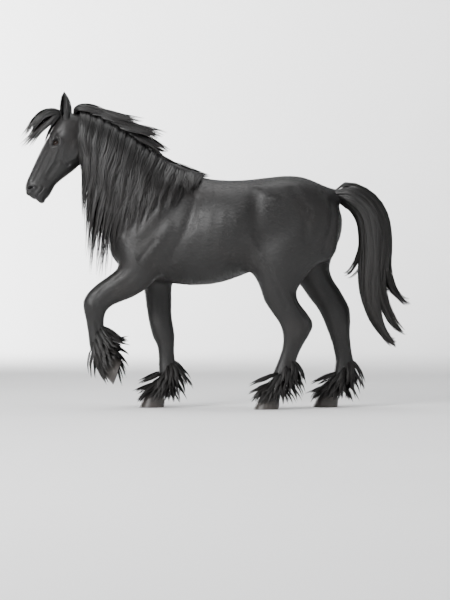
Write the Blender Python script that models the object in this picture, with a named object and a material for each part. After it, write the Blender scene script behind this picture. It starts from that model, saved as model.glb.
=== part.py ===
"""A life-size Friesian horse at a walk, its near foreleg raised, its mane and tail blown by its motion.

Metres, +Z up. The horse faces -X, and its near (left) side faces -Y. It stands on the plane Z = 0.
The flesh is lofted from stations, fused into one body, and parted with thin cuts into named nodes.
"""

import math
import random

import bmesh
import bpy
import numpy as np
from mathutils import Matrix, Vector
from mathutils.bvhtree import BVHTree

# Driving dimensions
FACE_SLOPE = math.radians(62)
POLL = (-1.055, 2.056)
EYE_RADIUS = 0.0225
EAR_LENGTH = 0.172
HOOF_LENGTH = 0.175
HOOF_WIDTH = 0.150
GAP = 0.0003
SEED = 7

NEAR, FAR = -1, 1

# Stations of the flesh. Each is a section through two outline points, seen from the side:
# front or top x z, back or bottom x z, centre y, half width, roundness power, skew of the widest line.
TRUNK = (
    (-0.752, 1.200, -0.742, 1.110, 0, 0.050, 2.0, 0.0),
    (-0.715, 1.360, -0.700, 1.010, 0, 0.160, 2.1, 0.0),
    (-0.610, 1.480, -0.610, 0.950, 0, 0.215, 2.2, -0.05),
    (-0.460, 1.560, -0.460, 0.900, 0, 0.236, 2.2, -0.08),
    (-0.320, 1.598, -0.320, 0.865, 0, 0.250, 2.0, -0.12),
    (-0.180, 1.602, -0.180, 0.853, 0, 0.275, 1.9, -0.12),
    (-0.040, 1.588, -0.040, 0.860, 0, 0.300, 2.0, -0.08),
    (0.080, 1.578, 0.080, 0.884, 0, 0.312, 2.1, -0.04),
    (0.200, 1.580, 0.200, 0.926, 0, 0.308, 2.2, 0.0),
    (0.330, 1.594, 0.330, 0.972, 0, 0.294, 2.3, 0.05),
    (0.460, 1.610, 0.460, 1.005, 0, 0.286, 2.15, 0.10),
    (0.570, 1.612, 0.570, 1.030, 0, 0.276, 2.1, 0.12),
    (0.680, 1.578, 0.680, 1.045, 0, 0.246, 2.05, 0.10),
    (0.780, 1.515, 0.780, 1.065, 0, 0.190, 2.0, 0.05),
    (0.845, 1.430, 0.850, 1.120, 0, 0.120, 2.0, 0.0),
    (0.880, 1.320, 0.880, 1.230, 0, 0.045, 2.0, 0.0),
)
NECK = (
    (-0.100, 1.570, -0.640, 1.020, 0, 0.205, 2.1, -0.10),
    (-0.300, 1.660, -0.735, 1.160, 0, 0.190, 2.0, -0.12),
    (-0.455, 1.775, -0.770, 1.300, 0, 0.160, 1.95, -0.15),
    (-0.600, 1.890, -0.805, 1.430, 0, 0.135, 1.9, -0.18),
    (-0.745, 1.985, -0.845, 1.545, 0, 0.115, 1.9, -0.15),
    (-0.875, 2.036, -0.890, 1.650, 0, 0.102, 1.95, -0.10),
    (-0.975, 2.045, -0.960, 1.730, 0, 0.088, 2.0, 0.0),
)
# The head's stations run down the face line from the poll: distance along it, dorsal and ventral depth
# below it, half width, roundness power, and the widest line's skew towards the forehead.
HEAD = (
    (-0.020, 0.050, 0.120, 0.050, 2.0, 0.0),
    (0.015, 0.012, 0.185, 0.080, 2.1, 0.05),
    (0.070, -0.004, 0.232, 0.098, 2.2, 0.12),
    (0.140, -0.006, 0.272, 0.108, 2.3, 0.22),
    (0.210, -0.004, 0.288, 0.112, 2.4, 0.28),
    (0.280, -0.008, 0.276, 0.103, 2.4, 0.26),
    (0.350, -0.007, 0.246, 0.087, 2.4, 0.22),
    (0.420, -0.004, 0.215, 0.073, 2.3, 0.15),
    (0.480, 0.000, 0.194, 0.064, 2.3, 0.08),
    (0.530, 0.003, 0.194, 0.060, 2.4, 0.02),
    (0.570, 0.009, 0.192, 0.064, 2.5, 0.0),
    (0.600, 0.021, 0.178, 0.063, 2.5, 0.0),
    (0.622, 0.042, 0.156, 0.052, 2.4, 0.0),
    (0.635, 0.072, 0.122, 0.030, 2.2, 0.0),
)
FORE_PLANTED = (
    (-0.600, 1.300, -0.280, 1.250, 0.155, 0.060, 2.0, 0.0),
    (-0.590, 1.130, -0.300, 1.100, 0.160, 0.085, 2.0, 0.0),
    (-0.548, 1.000, -0.298, 0.990, 0.155, 0.088, 2.1, 0.0),
    (-0.514, 0.890, -0.305, 0.890, 0.145, 0.080, 2.1, 0.05),
    (-0.494, 0.790, -0.312, 0.790, 0.135, 0.068, 2.1, 0.05),
    (-0.474, 0.690, -0.316, 0.690, 0.128, 0.059, 2.1, 0.0),
    (-0.460, 0.610, -0.312, 0.610, 0.122, 0.057, 2.3, 0.0),
    (-0.446, 0.550, -0.300, 0.545, 0.118, 0.060, 2.4, 0.0),
    (-0.428, 0.485, -0.294, 0.485, 0.113, 0.052, 2.3, 0.0),
    (-0.398, 0.425, -0.296, 0.425, 0.110, 0.040, 2.2, 0.0),
    (-0.390, 0.340, -0.292, 0.340, 0.107, 0.037, 2.2, 0.0),
    (-0.388, 0.280, -0.280, 0.285, 0.104, 0.042, 2.2, 0.0),
    (-0.388, 0.225, -0.262, 0.235, 0.102, 0.048, 2.2, 0.0),
)
FORE_RAISED = (
    (-0.640, 1.290, -0.300, 1.200, -0.155, 0.060, 2.0, 0.0),
    (-0.655, 1.090, -0.370, 0.980, -0.160, 0.088, 2.0, 0.0),
    (-0.640, 1.000, -0.430, 0.860, -0.158, 0.086, 2.1, 0.0),
    (-0.705, 0.935, -0.530, 0.790, -0.152, 0.078, 2.1, 0.05),
    (-0.770, 0.880, -0.620, 0.755, -0.147, 0.068, 2.1, 0.05),
    (-0.830, 0.830, -0.695, 0.725, -0.143, 0.060, 2.1, 0.0),
    (-0.872, 0.785, -0.740, 0.695, -0.140, 0.058, 2.3, 0.0),
    (-0.898, 0.735, -0.764, 0.660, -0.138, 0.058, 2.4, 0.0),
    (-0.896, 0.680, -0.768, 0.640, -0.137, 0.054, 2.3, 0.0),
    (-0.880, 0.610, -0.774, 0.600, -0.136, 0.041, 2.2, 0.0),
    (-0.868, 0.530, -0.766, 0.525, -0.135, 0.037, 2.2, 0.0),
    (-0.860, 0.470, -0.748, 0.478, -0.134, 0.043, 2.2, 0.0),
    (-0.846, 0.405, -0.722, 0.442, -0.133, 0.048, 2.2, 0.0),
)
HIND_FORWARD = (
    (0.420, 1.480, 0.825, 1.390, -0.150, 0.070, 2.0, 0.0),
    (0.330, 1.280, 0.845, 1.220, -0.168, 0.120, 2.0, 0.0),
    (0.250, 1.080, 0.735, 1.050, -0.178, 0.128, 2.1, 0.10),
    (0.250, 0.950, 0.615, 0.900, -0.177, 0.112, 2.1, 0.10),
    (0.300, 0.850, 0.548, 0.810, -0.172, 0.092, 2.1, 0.05),
    (0.345, 0.740, 0.562, 0.735, -0.168, 0.073, 2.1, 0.0),
    (0.400, 0.655, 0.612, 0.670, -0.165, 0.060, 2.1, 0.0),
    (0.448, 0.585, 0.660, 0.590, -0.162, 0.056, 2.3, 0.0),
    (0.470, 0.515, 0.640, 0.520, -0.160, 0.054, 2.3, 0.0),
    (0.468, 0.440, 0.600, 0.450, -0.158, 0.043, 2.2, 0.0),
    (0.446, 0.360, 0.562, 0.375, -0.156, 0.039, 2.2, 0.0),
    (0.420, 0.295, 0.544, 0.310, -0.154, 0.044, 2.2, 0.0),
    (0.398, 0.235, 0.540, 0.262, -0.153, 0.050, 2.2, 0.0),
)
HIND_TRAILING = (
    (0.440, 1.480, 0.820, 1.380, 0.150, 0.070, 2.0, 0.0),
    (0.400, 1.280, 0.862, 1.240, 0.170, 0.120, 2.0, 0.0),
    (0.440, 1.080, 0.826, 1.080, 0.180, 0.128, 2.1, 0.10),
    (0.515, 0.950, 0.792, 0.985, 0.178, 0.108, 2.1, 0.10),
    (0.590, 0.860, 0.815, 0.900, 0.172, 0.086, 2.1, 0.05),
    (0.660, 0.770, 0.860, 0.820, 0.166, 0.068, 2.1, 0.0),
    (0.715, 0.700, 0.905, 0.745, 0.162, 0.059, 2.1, 0.0),
    (0.750, 0.640, 0.932, 0.680, 0.160, 0.056, 2.3, 0.0),
    (0.778, 0.570, 0.936, 0.590, 0.158, 0.053, 2.3, 0.0),
    (0.808, 0.490, 0.934, 0.500, 0.156, 0.043, 2.2, 0.0),
    (0.834, 0.400, 0.944, 0.400, 0.154, 0.039, 2.2, 0.0),
    (0.846, 0.320, 0.960, 0.320, 0.153, 0.044, 2.2, 0.0),
    (0.836, 0.250, 0.968, 0.262, 0.152, 0.050, 2.2, 0.0),
)
# The dock grows out of the croup and is cut across where the tail's own node begins.
DOCK = (
    (0.640, 1.560, 0.640, 1.440, 0, 0.050, 2.0, 0.0),
    (0.740, 1.552, 0.730, 1.440, 0, 0.052, 2.0, 0.0),
    (0.810, 1.532, 0.800, 1.436, 0, 0.048, 2.0, 0.0),
    (0.880, 1.518, 0.870, 1.428, 0, 0.044, 2.0, 0.0),
)


def clear_scene():
    for old in list(bpy.data.objects):
        bpy.data.objects.remove(old)


def catmull_rom(rows, per_span):
    """The rows with per_span - 1 more between each pair, on a smooth curve through all of them."""
    rows = np.array(rows, float)
    padded = np.vstack([2 * rows[0] - rows[1], rows, 2 * rows[-1] - rows[-2]])
    out = []
    for i in range(1, len(padded) - 2):
        p0, p1, p2, p3 = padded[i - 1 : i + 3]
        for t in np.arange(per_span) / per_span:
            cubic = 2 * p1 + (p2 - p0) * t
            cubic = cubic + (2 * p0 - 5 * p1 + 4 * p2 - p3) * t**2
            cubic = cubic + (3 * p1 - p0 - 3 * p2 + p3) * t**3
            out.append(cubic / 2)
    out.append(rows[-1])
    return np.array(out)


def rounded(angle, power):
    """Cosine and sine of a superellipse of that power: 2 is round, more is boxier."""
    cosine, sine = np.cos(angle), np.sin(angle)
    return (
        np.sign(cosine) * np.abs(cosine) ** (2 / power),
        np.sign(sine) * np.abs(sine) ** (2 / power),
    )


def section(station, sides):
    """The points of one station: a superellipse between its two outline points."""
    xa, za, xb, zb, y, half, power, skew = station
    middle = np.array([(xa + xb) / 2, y, (za + zb) / 2])
    arm = np.array([(xa - xb) / 2, 0, (za - zb) / 2])
    along, across = rounded(np.arange(sides) * 2 * math.pi / sides, power)
    along = along + skew * (1 - along**2)
    return middle + along[:, None] * arm + across[:, None] * np.array([0, half, 0])


def mesh_object(name, points, faces):
    mesh = bpy.data.meshes.new(name)
    mesh.from_pydata([tuple(map(float, p)) for p in points], [], faces)
    obj = bpy.data.objects.new(name, mesh)
    bpy.context.scene.collection.objects.link(obj)
    return obj


def face_outwards(obj):
    """The object in triangles that face out."""
    made = bmesh.new()
    made.from_mesh(obj.data)
    bmesh.ops.triangulate(made, faces=made.faces)
    bmesh.ops.recalc_face_normals(made, faces=made.faces)
    made.to_mesh(obj.data)
    made.free()
    return obj


def skin_over(name, rings):
    """A closed tube through rings of equal size, its ends filled."""
    sides = len(rings[0])
    faces = []
    for a in range(len(rings) - 1):
        for i in range(sides):
            j = (i + 1) % sides
            faces.append((a * sides + i, a * sides + j, (a + 1) * sides + j, (a + 1) * sides + i))
    faces.append(tuple(range(sides))[::-1])
    faces.append(tuple((len(rings) - 1) * sides + i for i in range(sides)))
    return face_outwards(mesh_object(name, np.vstack(rings), faces))


def loft(name, stations, per_span=3, sides=32):
    return skin_over(name, [section(s, sides) for s in catmull_rom(stations, per_span)])


def baked(obj):
    """The object with its modifiers applied."""
    graph = bpy.context.evaluated_depsgraph_get()
    mesh = bpy.data.meshes.new_from_object(obj.evaluated_get(graph))
    obj.modifiers.clear()
    obj.data = mesh
    return obj


def copy_of(obj, name):
    made = bpy.data.objects.new(name, obj.data.copy())
    bpy.context.scene.collection.objects.link(made)
    return made


def removed(*objects):
    for obj in objects:
        bpy.data.objects.remove(obj)


def boolean(obj, other, operation, solver="EXACT"):
    """Joins, cuts or keeps by another object, or by a list of them, which are then removed."""
    modifier = obj.modifiers.new(operation, "BOOLEAN")
    modifier.operation = operation
    modifier.solver = solver
    group = bpy.data.collections.new("operands")
    others = other if isinstance(other, list) else [other]
    for each in others:
        group.objects.link(each)
    if len(others) == 1:
        modifier.object = others[0]
    else:
        modifier.operand_type = "COLLECTION"
        modifier.collection = group
    baked(obj)
    removed(*others)
    bpy.data.collections.remove(group)
    return obj


def triangulated(obj):
    """The object's mesh in triangles, split the way that leaves every edge with two of them."""
    for way in ("BEAUTY", "EAR_CLIP"):
        made = bmesh.new()
        made.from_mesh(obj.data)
        bmesh.ops.triangulate(made, faces=made.faces, ngon_method=way)
        if all(len(edge.link_faces) == 2 for edge in made.edges):
            return made
    return made


def largest_surface(obj):
    """The object with only its largest closed surface."""
    made = triangulated(obj)
    groups, seen = [], set()
    for start in made.verts:
        if start in seen:
            continue
        stack, group = [start], []
        seen.add(start)
        while stack:
            vert = stack.pop()
            group.append(vert)
            for edge in vert.link_edges:
                near = edge.other_vert(vert)
                if near not in seen:
                    seen.add(near)
                    stack.append(near)
        groups.append(group)
    groups.sort(key=lambda group: box_volume([vert.co for vert in group]), reverse=True)
    for group in groups[1:]:
        bmesh.ops.delete(made, geom=group, context="VERTS")
    made.to_mesh(obj.data)
    made.free()
    return obj


def box_volume(points):
    spread = np.ptp(np.array(points), axis=0)
    return spread[0] * spread[1] * spread[2]


# The flesh

HEAD_DOWN = np.array([-math.cos(FACE_SLOPE), 0, -math.sin(FACE_SLOPE)])
HEAD_BACK = np.array([math.sin(FACE_SLOPE), 0, -math.cos(FACE_SLOPE)])


def head_point(along, depth, y=0.0):
    """A point of the head: along the face line from the poll, that deep behind it, and to the side."""
    poll = np.array([POLL[0], 0, POLL[1]])
    return poll + HEAD_DOWN * along + HEAD_BACK * depth + np.array([0, y, 0])


def head_stations():
    found = []
    for along, dorsal, ventral, half, power, skew in HEAD:
        top, low = head_point(along, dorsal), head_point(along, ventral)
        found.append((top[0], top[2], low[0], low[2], 0, half, power, skew))
    return found


class Foot:
    """The frame of one hoof: its sole's centre, the way the toe points, and the way up from the sole."""

    def __init__(self, name, x, y, z=0.0, toe=(-1.0, 0.0)):
        self.name = name
        self.sole = np.array([x, y, z])
        self.toe = np.array([toe[0], 0, toe[1]])
        self.up = np.array([toe[1], 0, -toe[0]])

    def at(self, forward, height, y=0.0):
        return self.sole + self.toe * forward + self.up * height + np.array([0, y, 0])

    def station(self, front, back, half):
        a, b = self.at(*front), self.at(*back)
        return (a[0], a[2], b[0], b[2], self.sole[1], half, 2.2, 0.0)


CORONET = ((0.040, 0.092), (-0.092, 0.060), 0.060)
UNDER_CORONET = ((0.050, 0.055), (-0.095, 0.025), 0.066)
RAISED_TOE = (-0.333, -0.943)

FEET = {
    "fore_far": Foot("fore_far", -0.449, 0.098),
    "fore_near": Foot("fore_near", -0.672, -0.130, 0.249, RAISED_TOE),
    "hind_near": Foot("hind_near", 0.344, -0.150),
    "hind_far": Foot("hind_far", 0.763, 0.150),
}
LEGS = {
    "fore_far": FORE_PLANTED,
    "fore_near": FORE_RAISED,
    "hind_near": HIND_FORWARD,
    "hind_far": HIND_TRAILING,
}


LEG_GROWTH = 0.012


def leg_stations(name):
    """The leg's stations, a little deeper than their outline, then its pastern and the top of its hoof."""
    foot = FEET[name]
    coronet, under = foot.station(*CORONET), foot.station(*UNDER_CORONET)
    fetlock = LEGS[name][-1]
    middle = (np.array(fetlock) + np.array(coronet)) / 2
    front, back = middle[[0, 1]], middle[[2, 3]]
    centre, arm = (front + back) / 2, (front - back) / 2
    arm = arm * 0.048 / np.linalg.norm(arm)
    pastern = (*(centre + arm), *(centre - arm), middle[4], 0.042, 2.2, 0.0)
    leg = []
    for xa, za, xb, zb, *rest in LEGS[name]:
        depth = math.hypot(xa - xb, za - zb)
        x, z = (xa - xb) / depth * LEG_GROWTH, (za - zb) / depth * LEG_GROWTH
        leg.append((xa + x, za + z, xb - x, zb - z, *rest))
    return [*leg, pastern, coronet, under]


# Muscles that stand out of the lofts: centre, the way the long axis runs in side view, and its three
# half lengths: along, across in side view, and sideways. Those with a y stand on both sides.
MUSCLES = (
    ((-0.450, 0.150, 1.330), (-0.70, -0.72), (0.300, 0.125, 0.085)),
    ((-0.405, 0.175, 1.130), (-0.50, -0.87), (0.175, 0.125, 0.078)),
    ((-0.640, 0.085, 1.130), (-0.30, -0.95), (0.140, 0.090, 0.085)),
    ((-0.690, 0.090, 1.420), (-0.55, 0.83), (0.300, 0.085, 0.050)),
    ((0.520, 0.135, 1.420), (0.96, -0.20), (0.250, 0.165, 0.125)),
    ((0.680, 0.155, 1.240), (0.35, -0.93), (0.270, 0.155, 0.105)),
    ((0.330, 0.195, 1.465), (0.85, -0.52), (0.110, 0.075, 0.065)),
    ((-0.150, 0.020, 1.555), (0.99, -0.10), (0.170, 0.055, 0.060)),
)
HEAD_MUSCLES = (
    ((0.190, 0.185, 0.066), (0.85, 0.53), (0.105, 0.080, 0.040)),
    ((0.205, 0.050, 0.088), (0.97, 0.24), (0.055, 0.034, 0.030)),
    ((0.330, 0.112, 0.072), (0.98, -0.20), (0.080, 0.014, 0.015)),
    ((0.596, 0.070, 0.042), (0.80, -0.60), (0.042, 0.030, 0.026)),
    ((0.608, 0.150, 0.018), (0.60, 0.80), (0.036, 0.030, 0.036)),
)


def ellipsoid(name, centre, direction, halves, segments=24, rings=12):
    """A ball stretched to three half lengths, the first along a direction in side view."""
    made = bmesh.new()
    bmesh.ops.create_uvsphere(made, u_segments=segments, v_segments=rings, radius=1)
    mesh = bpy.data.meshes.new(name)
    made.to_mesh(mesh)
    made.free()
    ahead = Vector((direction[0], 0, direction[1])).normalized()
    side = Vector((0, 1, 0))
    across = side.cross(ahead)
    turn = Matrix((ahead * halves[0], across * halves[1], side * halves[2])).transposed()
    mesh.transform(turn.to_4x4())
    mesh.transform(Matrix.Translation(Vector(centre)))
    obj = bpy.data.objects.new(name, mesh)
    bpy.context.scene.collection.objects.link(obj)
    return face_outwards(obj)


def muscle_pairs():
    found = []
    for centre, direction, halves in MUSCLES:
        for side in (NEAR, FAR):
            place = (centre[0], centre[1] * side, centre[2])
            found.append(ellipsoid("muscle", place, direction, halves))
    return found


def head_muscle_pairs():
    found = []
    for (along, depth, y), (ahead, down), halves in HEAD_MUSCLES:
        run = HEAD_DOWN * ahead + HEAD_BACK * down
        for side in (NEAR, FAR):
            found.append(
                ellipsoid("muscle", head_point(along, depth, y * side), (run[0], run[2]), halves)
            )
    return found


# Where limbs and neck grow out of the trunk, the fused flesh is smoothed: centre x z, reach.
JUNCTIONS = (
    ((-0.44, 1.00), 0.30),
    ((-0.66, 1.08), 0.26),
    ((-0.30, 1.55), 0.25),
    ((-0.48, 1.35), 0.36),
    ((0.30, 1.05), 0.30),
    ((0.66, 1.10), 0.34),
    ((0.55, 1.40), 0.36),
    ((-0.90, 1.72), 0.12),
    ((-0.92, 2.02), 0.14),
    ((0.80, 1.46), 0.12),
)
LEAST_SMOOTH = 0.06


def fused(name, pieces, voxel, passes, triangles):
    """The pieces as one closed surface of about that many triangles, filled out at the junctions."""
    made = bmesh.new()
    for piece in pieces:
        made.from_mesh(piece.data)
    mesh = bpy.data.meshes.new(name)
    made.to_mesh(mesh)
    made.free()
    removed(*pieces)
    obj = bpy.data.objects.new(name, mesh)
    bpy.context.scene.collection.objects.link(obj)
    remesh = obj.modifiers.new("fuse", "REMESH")
    remesh.mode = "VOXEL"
    remesh.voxel_size = voxel
    baked(obj)
    group = obj.vertex_groups.new(name="soft")
    for vert in obj.data.vertices:
        x, z = vert.co.x, vert.co.z
        weight = LEAST_SMOOTH
        for (cx, cz), reach in JUNCTIONS:
            near = 1 - math.hypot(x - cx, z - cz) / reach
            weight = max(weight, min(1.0, 2 * near))
        group.add([vert.index], weight, "REPLACE")
    smooth = obj.modifiers.new("soften", "SMOOTH")
    smooth.factor = 0.6
    smooth.iterations = passes
    smooth.vertex_group = "soft"
    thin = obj.modifiers.new("thin", "DECIMATE")
    thin.ratio = triangles / (2 * len(obj.data.polygons))
    thin.use_collapse_triangulate = True
    baked(obj)
    return obj


# Cutting planes: a point x z, the way out through the plane x z, how far the cut reaches each way
# along the plane, how deep it goes, and the span of y.
CUTS = {
    "head": ((-0.890, 1.860), (-0.981, -0.194), (0.60, 0.60), 1.0, (-0.5, 0.5)),
    "neck": ((-0.510, 1.395), (-0.744, 0.667), (0.70, 0.70), 1.2, (-0.5, 0.5)),
    "fore_far": ((-0.410, 0.835), (0.0, -1.0), (0.22, 0.22), 1.0, (0.0, 0.5)),
    "fore_near": ((-0.580, 0.885), (-0.676, -0.737), (0.16, 0.35), 1.0, (-0.5, 0.0)),
    "hind_near": ((0.620, 0.905), (0.0, -1.0), (0.41, 0.50), 1.0, (-0.5, 0.0)),
    "hind_far": ((0.620, 0.905), (0.0, -1.0), (0.41, 0.50), 1.0, (0.0, 0.5)),
    "knee_far": ((-0.350, 0.505), (0.0, -1.0), (0.3, 0.3), 1.0, (-0.5, 0.5)),
    "knee_near": ((-0.830, 0.640), (0.17, -0.985), (0.3, 0.3), 1.0, (-0.5, 0.5)),
    "hock_near": ((0.545, 0.500), (-0.15, -0.989), (0.3, 0.3), 1.0, (-0.5, 0.5)),
    "hock_far": ((0.860, 0.545), (0.05, -0.998), (0.3, 0.3), 1.0, (-0.5, 0.5)),
}
LOWER_JOINT = {
    "fore_far": "knee_far",
    "fore_near": "knee_near",
    "hind_near": "hock_near",
    "hind_far": "hock_far",
}


def cutter(cut, gap=0.0):
    """A box on the far side of a cutting plane, set off from it by the gap."""
    (x, z), (nx, nz), (ahead, behind), depth, (low, high) = cut
    out = Vector((nx, 0, nz)).normalized()
    along = Vector((out.z, 0, -out.x))
    start = Vector((x, 0, z)) + out * gap
    corners = []
    for reach in (0, depth):
        for slide in (-behind, ahead):
            for y in (low, high):
                corners.append(start + out * reach + along * slide + Vector((0, y, 0)))
    faces = [(0, 1, 3, 2), (4, 6, 7, 5), (0, 4, 5, 1), (2, 3, 7, 6), (0, 2, 6, 4), (1, 5, 7, 3)]
    return face_outwards(mesh_object("cutter", corners, faces))


def coronet_cut(foot):
    """The plane on which a hoof meets its pastern."""
    front, back = foot.at(*CORONET[0]), foot.at(*CORONET[1])
    middle, along = (front + back) / 2, front - back
    out = np.array([-along[2], 0, along[0]])
    if out @ foot.up > 0:
        out = -out
    low, high = foot.sole[1] - 0.2, foot.sole[1] + 0.2
    return ((middle[0], middle[2]), (out[0], out[2]), (0.2, 0.2), 0.3, (low, high))


def piece(flesh, name, inside=(), outside=()):
    """The part of the flesh inside some cuts and outside others."""
    obj = copy_of(flesh, name)
    for cut in inside:
        boolean(obj, cutter(cut, GAP / 2), "INTERSECT")
    for cut in outside:
        boolean(obj, cutter(cut, -GAP / 2), "DIFFERENCE")
    return largest_surface(obj)


def hoof(foot):
    """A hoof: its wall slopes out from the coronet to the ground, and the sole is a little hollow."""
    sides = 16
    angle = np.arange(sides) * 2 * math.pi / sides
    along, across = rounded(angle, 2.3)
    front, back = foot.at(*CORONET[0]), foot.at(*CORONET[1])
    top = (front + back) / 2
    drop = np.cross(front - back, [0, 1, 0])
    drop = drop / np.linalg.norm(drop)
    if drop @ foot.up > 0:
        drop = -drop
    top = top + drop * GAP / 2
    arm = (front - back) / 2
    rings = []
    rise = np.array([0, 1.0, 0])
    lip = top[None] + along[:, None] * arm * 1.02 + across[:, None] * rise * 0.064
    rings.append(lip)
    half_length, half_width = HOOF_LENGTH / 2, HOOF_WIDTH / 2
    narrow = 1 - 0.10 * np.clip(-along, 0, 1)
    for share, height in ((0.965, 0.022), (1.0, 0.0), (0.86, 0.0), (0.70, 0.009)):
        ring = foot.at(0, height)[None] + (along * half_length * share)[:, None] * foot.toe
        ring = ring + (across * half_width * share * narrow)[:, None] * rise
        rings.append(ring)
    return skin_over("hoof_" + foot.name, rings)


def eye(side):
    centre = head_point(0.222, 0.074, 0.093 * side)
    made = ellipsoid("eye_" + side_name(side), centre, (1, 0), (EYE_RADIUS,) * 3, 12, 8)
    return made, centre


def side_name(side):
    return "near" if side == NEAR else "far"


def lid(centre, side):
    """An almond ring of lid round the eye, its flat facing out, forward and a little up."""
    out = Vector((-0.16, side, 0.10)).normalized()
    along = Vector(HEAD_DOWN * 0.97 + HEAD_BACK * 0.24)
    along = (along - out * along.dot(out)).normalized()
    up = out.cross(along)
    steps, sides = 14, 6
    rings = []
    for i in range(steps):
        a = 2 * math.pi * i / steps
        reach = 0.0245 * math.cos(a)
        rise = 0.0165 * math.sin(a)
        middle = Vector(centre) + out * 0.0135 + along * reach + up * rise
        away = (along * math.cos(a) + up * math.sin(a)).normalized()
        ring = []
        for j in range(sides):
            b = 2 * math.pi * j / sides
            ring.append(middle + away * 0.0075 * math.cos(b) + out * 0.0060 * math.sin(b))
        rings.append(ring)
    points = [p for ring in rings for p in ring]
    faces = []
    for i in range(steps):
        for j in range(sides):
            k, m = (i + 1) % steps, (j + 1) % sides
            faces.append((i * sides + j, i * sides + m, k * sides + m, k * sides + j))
    return face_outwards(mesh_object("lid", points, faces))


# The ear's outline, from under its base to its tip: the share of its length, and half its width.
EAR_OUTLINE = (
    (-0.26, 0.022),
    (0.0, 0.029),
    (0.22, 0.035),
    (0.45, 0.036),
    (0.66, 0.030),
    (0.84, 0.018),
    (0.97, 0.006),
)
EAR_CUP = (0.16, 0.34, 0.54, 0.76, 1.02)


def ear_shell(name, side, shares, grow, shift):
    """A tapered tube up the ear, hooked in at the tip, and set off towards the ear's opening."""
    base = Vector(head_point(0.030, 0.040, 0.056 * side))
    up = Vector((-0.010, 0.012 * side, 1)).normalized()
    opening = Vector((-0.72, 0.69 * side, 0))
    opening = (opening - up * opening.dot(up)).normalized()
    across = up.cross(opening)
    turn = np.arange(10) * 2 * math.pi / 10
    rings = []
    for share in shares:
        half = np.interp(share, *zip(*EAR_OUTLINE)) * grow
        middle = base + up * EAR_LENGTH * share + opening * (0.012 * share * share + shift * half)
        middle = np.array(middle) + np.array([0, -0.020 * side * max(share, 0) ** 2, 0])
        ring = middle + np.outer(np.cos(turn) * half * 0.82, opening)
        rings.append(ring + np.outer(np.sin(turn) * half, across))
    return skin_over(name, rings)


def ear(side):
    """A pricked ear, hollowed from the front and outer side into a cup."""
    made = ear_shell("ear_" + side_name(side), side, [row[0] for row in EAR_OUTLINE], 1.0, 0.0)
    return boolean(made, ear_shell("cutter", side, EAR_CUP, 0.80, 0.55), "DIFFERENCE", "MANIFOLD")


def clear_of(obj, other, gap=GAP):
    """Cuts an object back so that it stays a gap clear of another."""
    grown = largest_surface(copy_of(other, "cutter"))
    swell = grown.modifiers.new("gap", "DISPLACE")
    swell.strength = gap
    swell.mid_level = 0
    baked(grown)
    return largest_surface(boolean(largest_surface(obj), grown, "DIFFERENCE", "MANIFOLD"))


def nostril_cutter(side):
    centre = head_point(0.608, 0.060, 0.066 * side)
    run = HEAD_DOWN * 0.72 - HEAD_BACK * 0.70
    return ellipsoid("cutter", centre, (run[0], run[2]), (0.024, 0.011, 0.020), 12, 8)


def mouth_cutter(head):
    """A thin tube laid along the lips, from one corner of the mouth round the front to the other."""
    tree = BVHTree.FromObject(head, bpy.context.evaluated_depsgraph_get())
    rings = []
    for i in range(-8, 9):
        share = i / 8
        along, depth = 0.648 - 0.112 * abs(share) ** 1.4, 0.120 + 0.012 * abs(share)
        middle, out, _, _ = tree.find_nearest(Vector(head_point(along, depth, 0.085 * share)))
        thin = 0.35 if abs(i) == 8 else 1.0
        tall, deep = Vector(HEAD_BACK * 0.0022 * thin), out * 0.0060 * thin
        rings.append([middle + deep, middle + tall, middle - deep, middle - tall])
    return skin_over("cutter", np.array(rings))


# The hair. A guide is the middle of one lock: a list of points and of the ways out from the flesh.

STRIDE = 0.15
SUNK = 0.014
LEAST_CLEAR = 0.010


def tree_of(objects):
    """One tree of the triangles of several objects."""
    points, faces = [], []
    for obj in objects:
        start = len(points)
        points += [vert.co.copy() for vert in obj.data.vertices]
        faces += [[start + i for i in face.vertices] for face in obj.data.polygons]
    return BVHTree.FromPolygons(points, faces)


def off_the_flesh(tree, point, lift):
    """The point, pushed out to the lift if it is lower over the flesh, and the way out there."""
    spot, normal, _, _ = tree.find_nearest(point)
    if (point - spot).dot(normal) < lift:
        point = spot + normal * lift
    return point, normal


def guided(tree, points, lift):
    """The points as a guide, each with the way out of the flesh, which turns slowly where it is far off."""
    guide = [(points[0], tree.find_nearest(points[0])[1])]
    for point in points[1:]:
        spot, normal, _, _ = tree.find_nearest(point)
        free = (point - spot).length > 4 * lift
        guide.append((point, (guide[-1][1] * 2 + normal).normalized() if free else normal))
    return guide


def rooted(tree, points, lift, width):
    """A guide through the points: its root is sunk in the flesh, and its whole width is kept off it."""
    points = [points[0]] + [off_the_flesh(tree, point, lift)[0] for point in points[1:]]
    for _ in range(4):
        guide = guided(tree, points, lift)
        for i in range(1, len(points)):
            before, at = guide[i - 1][0], guide[i][0]
            side = (at - before).cross(guide[i][1]).normalized() * width / 2
            for slide in (-side, Vector(), side):
                raised, _ = off_the_flesh(tree, at + slide, LEAST_CLEAR)
                points[i] = points[i] + (raised - at - slide) * 0.7
                if i > 1:
                    middle = (before + at) / 2 + slide
                    raised, _ = off_the_flesh(tree, middle, LEAST_CLEAR)
                    points[i] = points[i] + (raised - middle) * 0.5
                    points[i - 1] = points[i - 1] + (raised - middle) * 0.5
    spot, normal, _, _ = tree.find_nearest(points[0])
    return [(spot - normal * SUNK, normal)] + guided(tree, points, lift)[1:]


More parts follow.
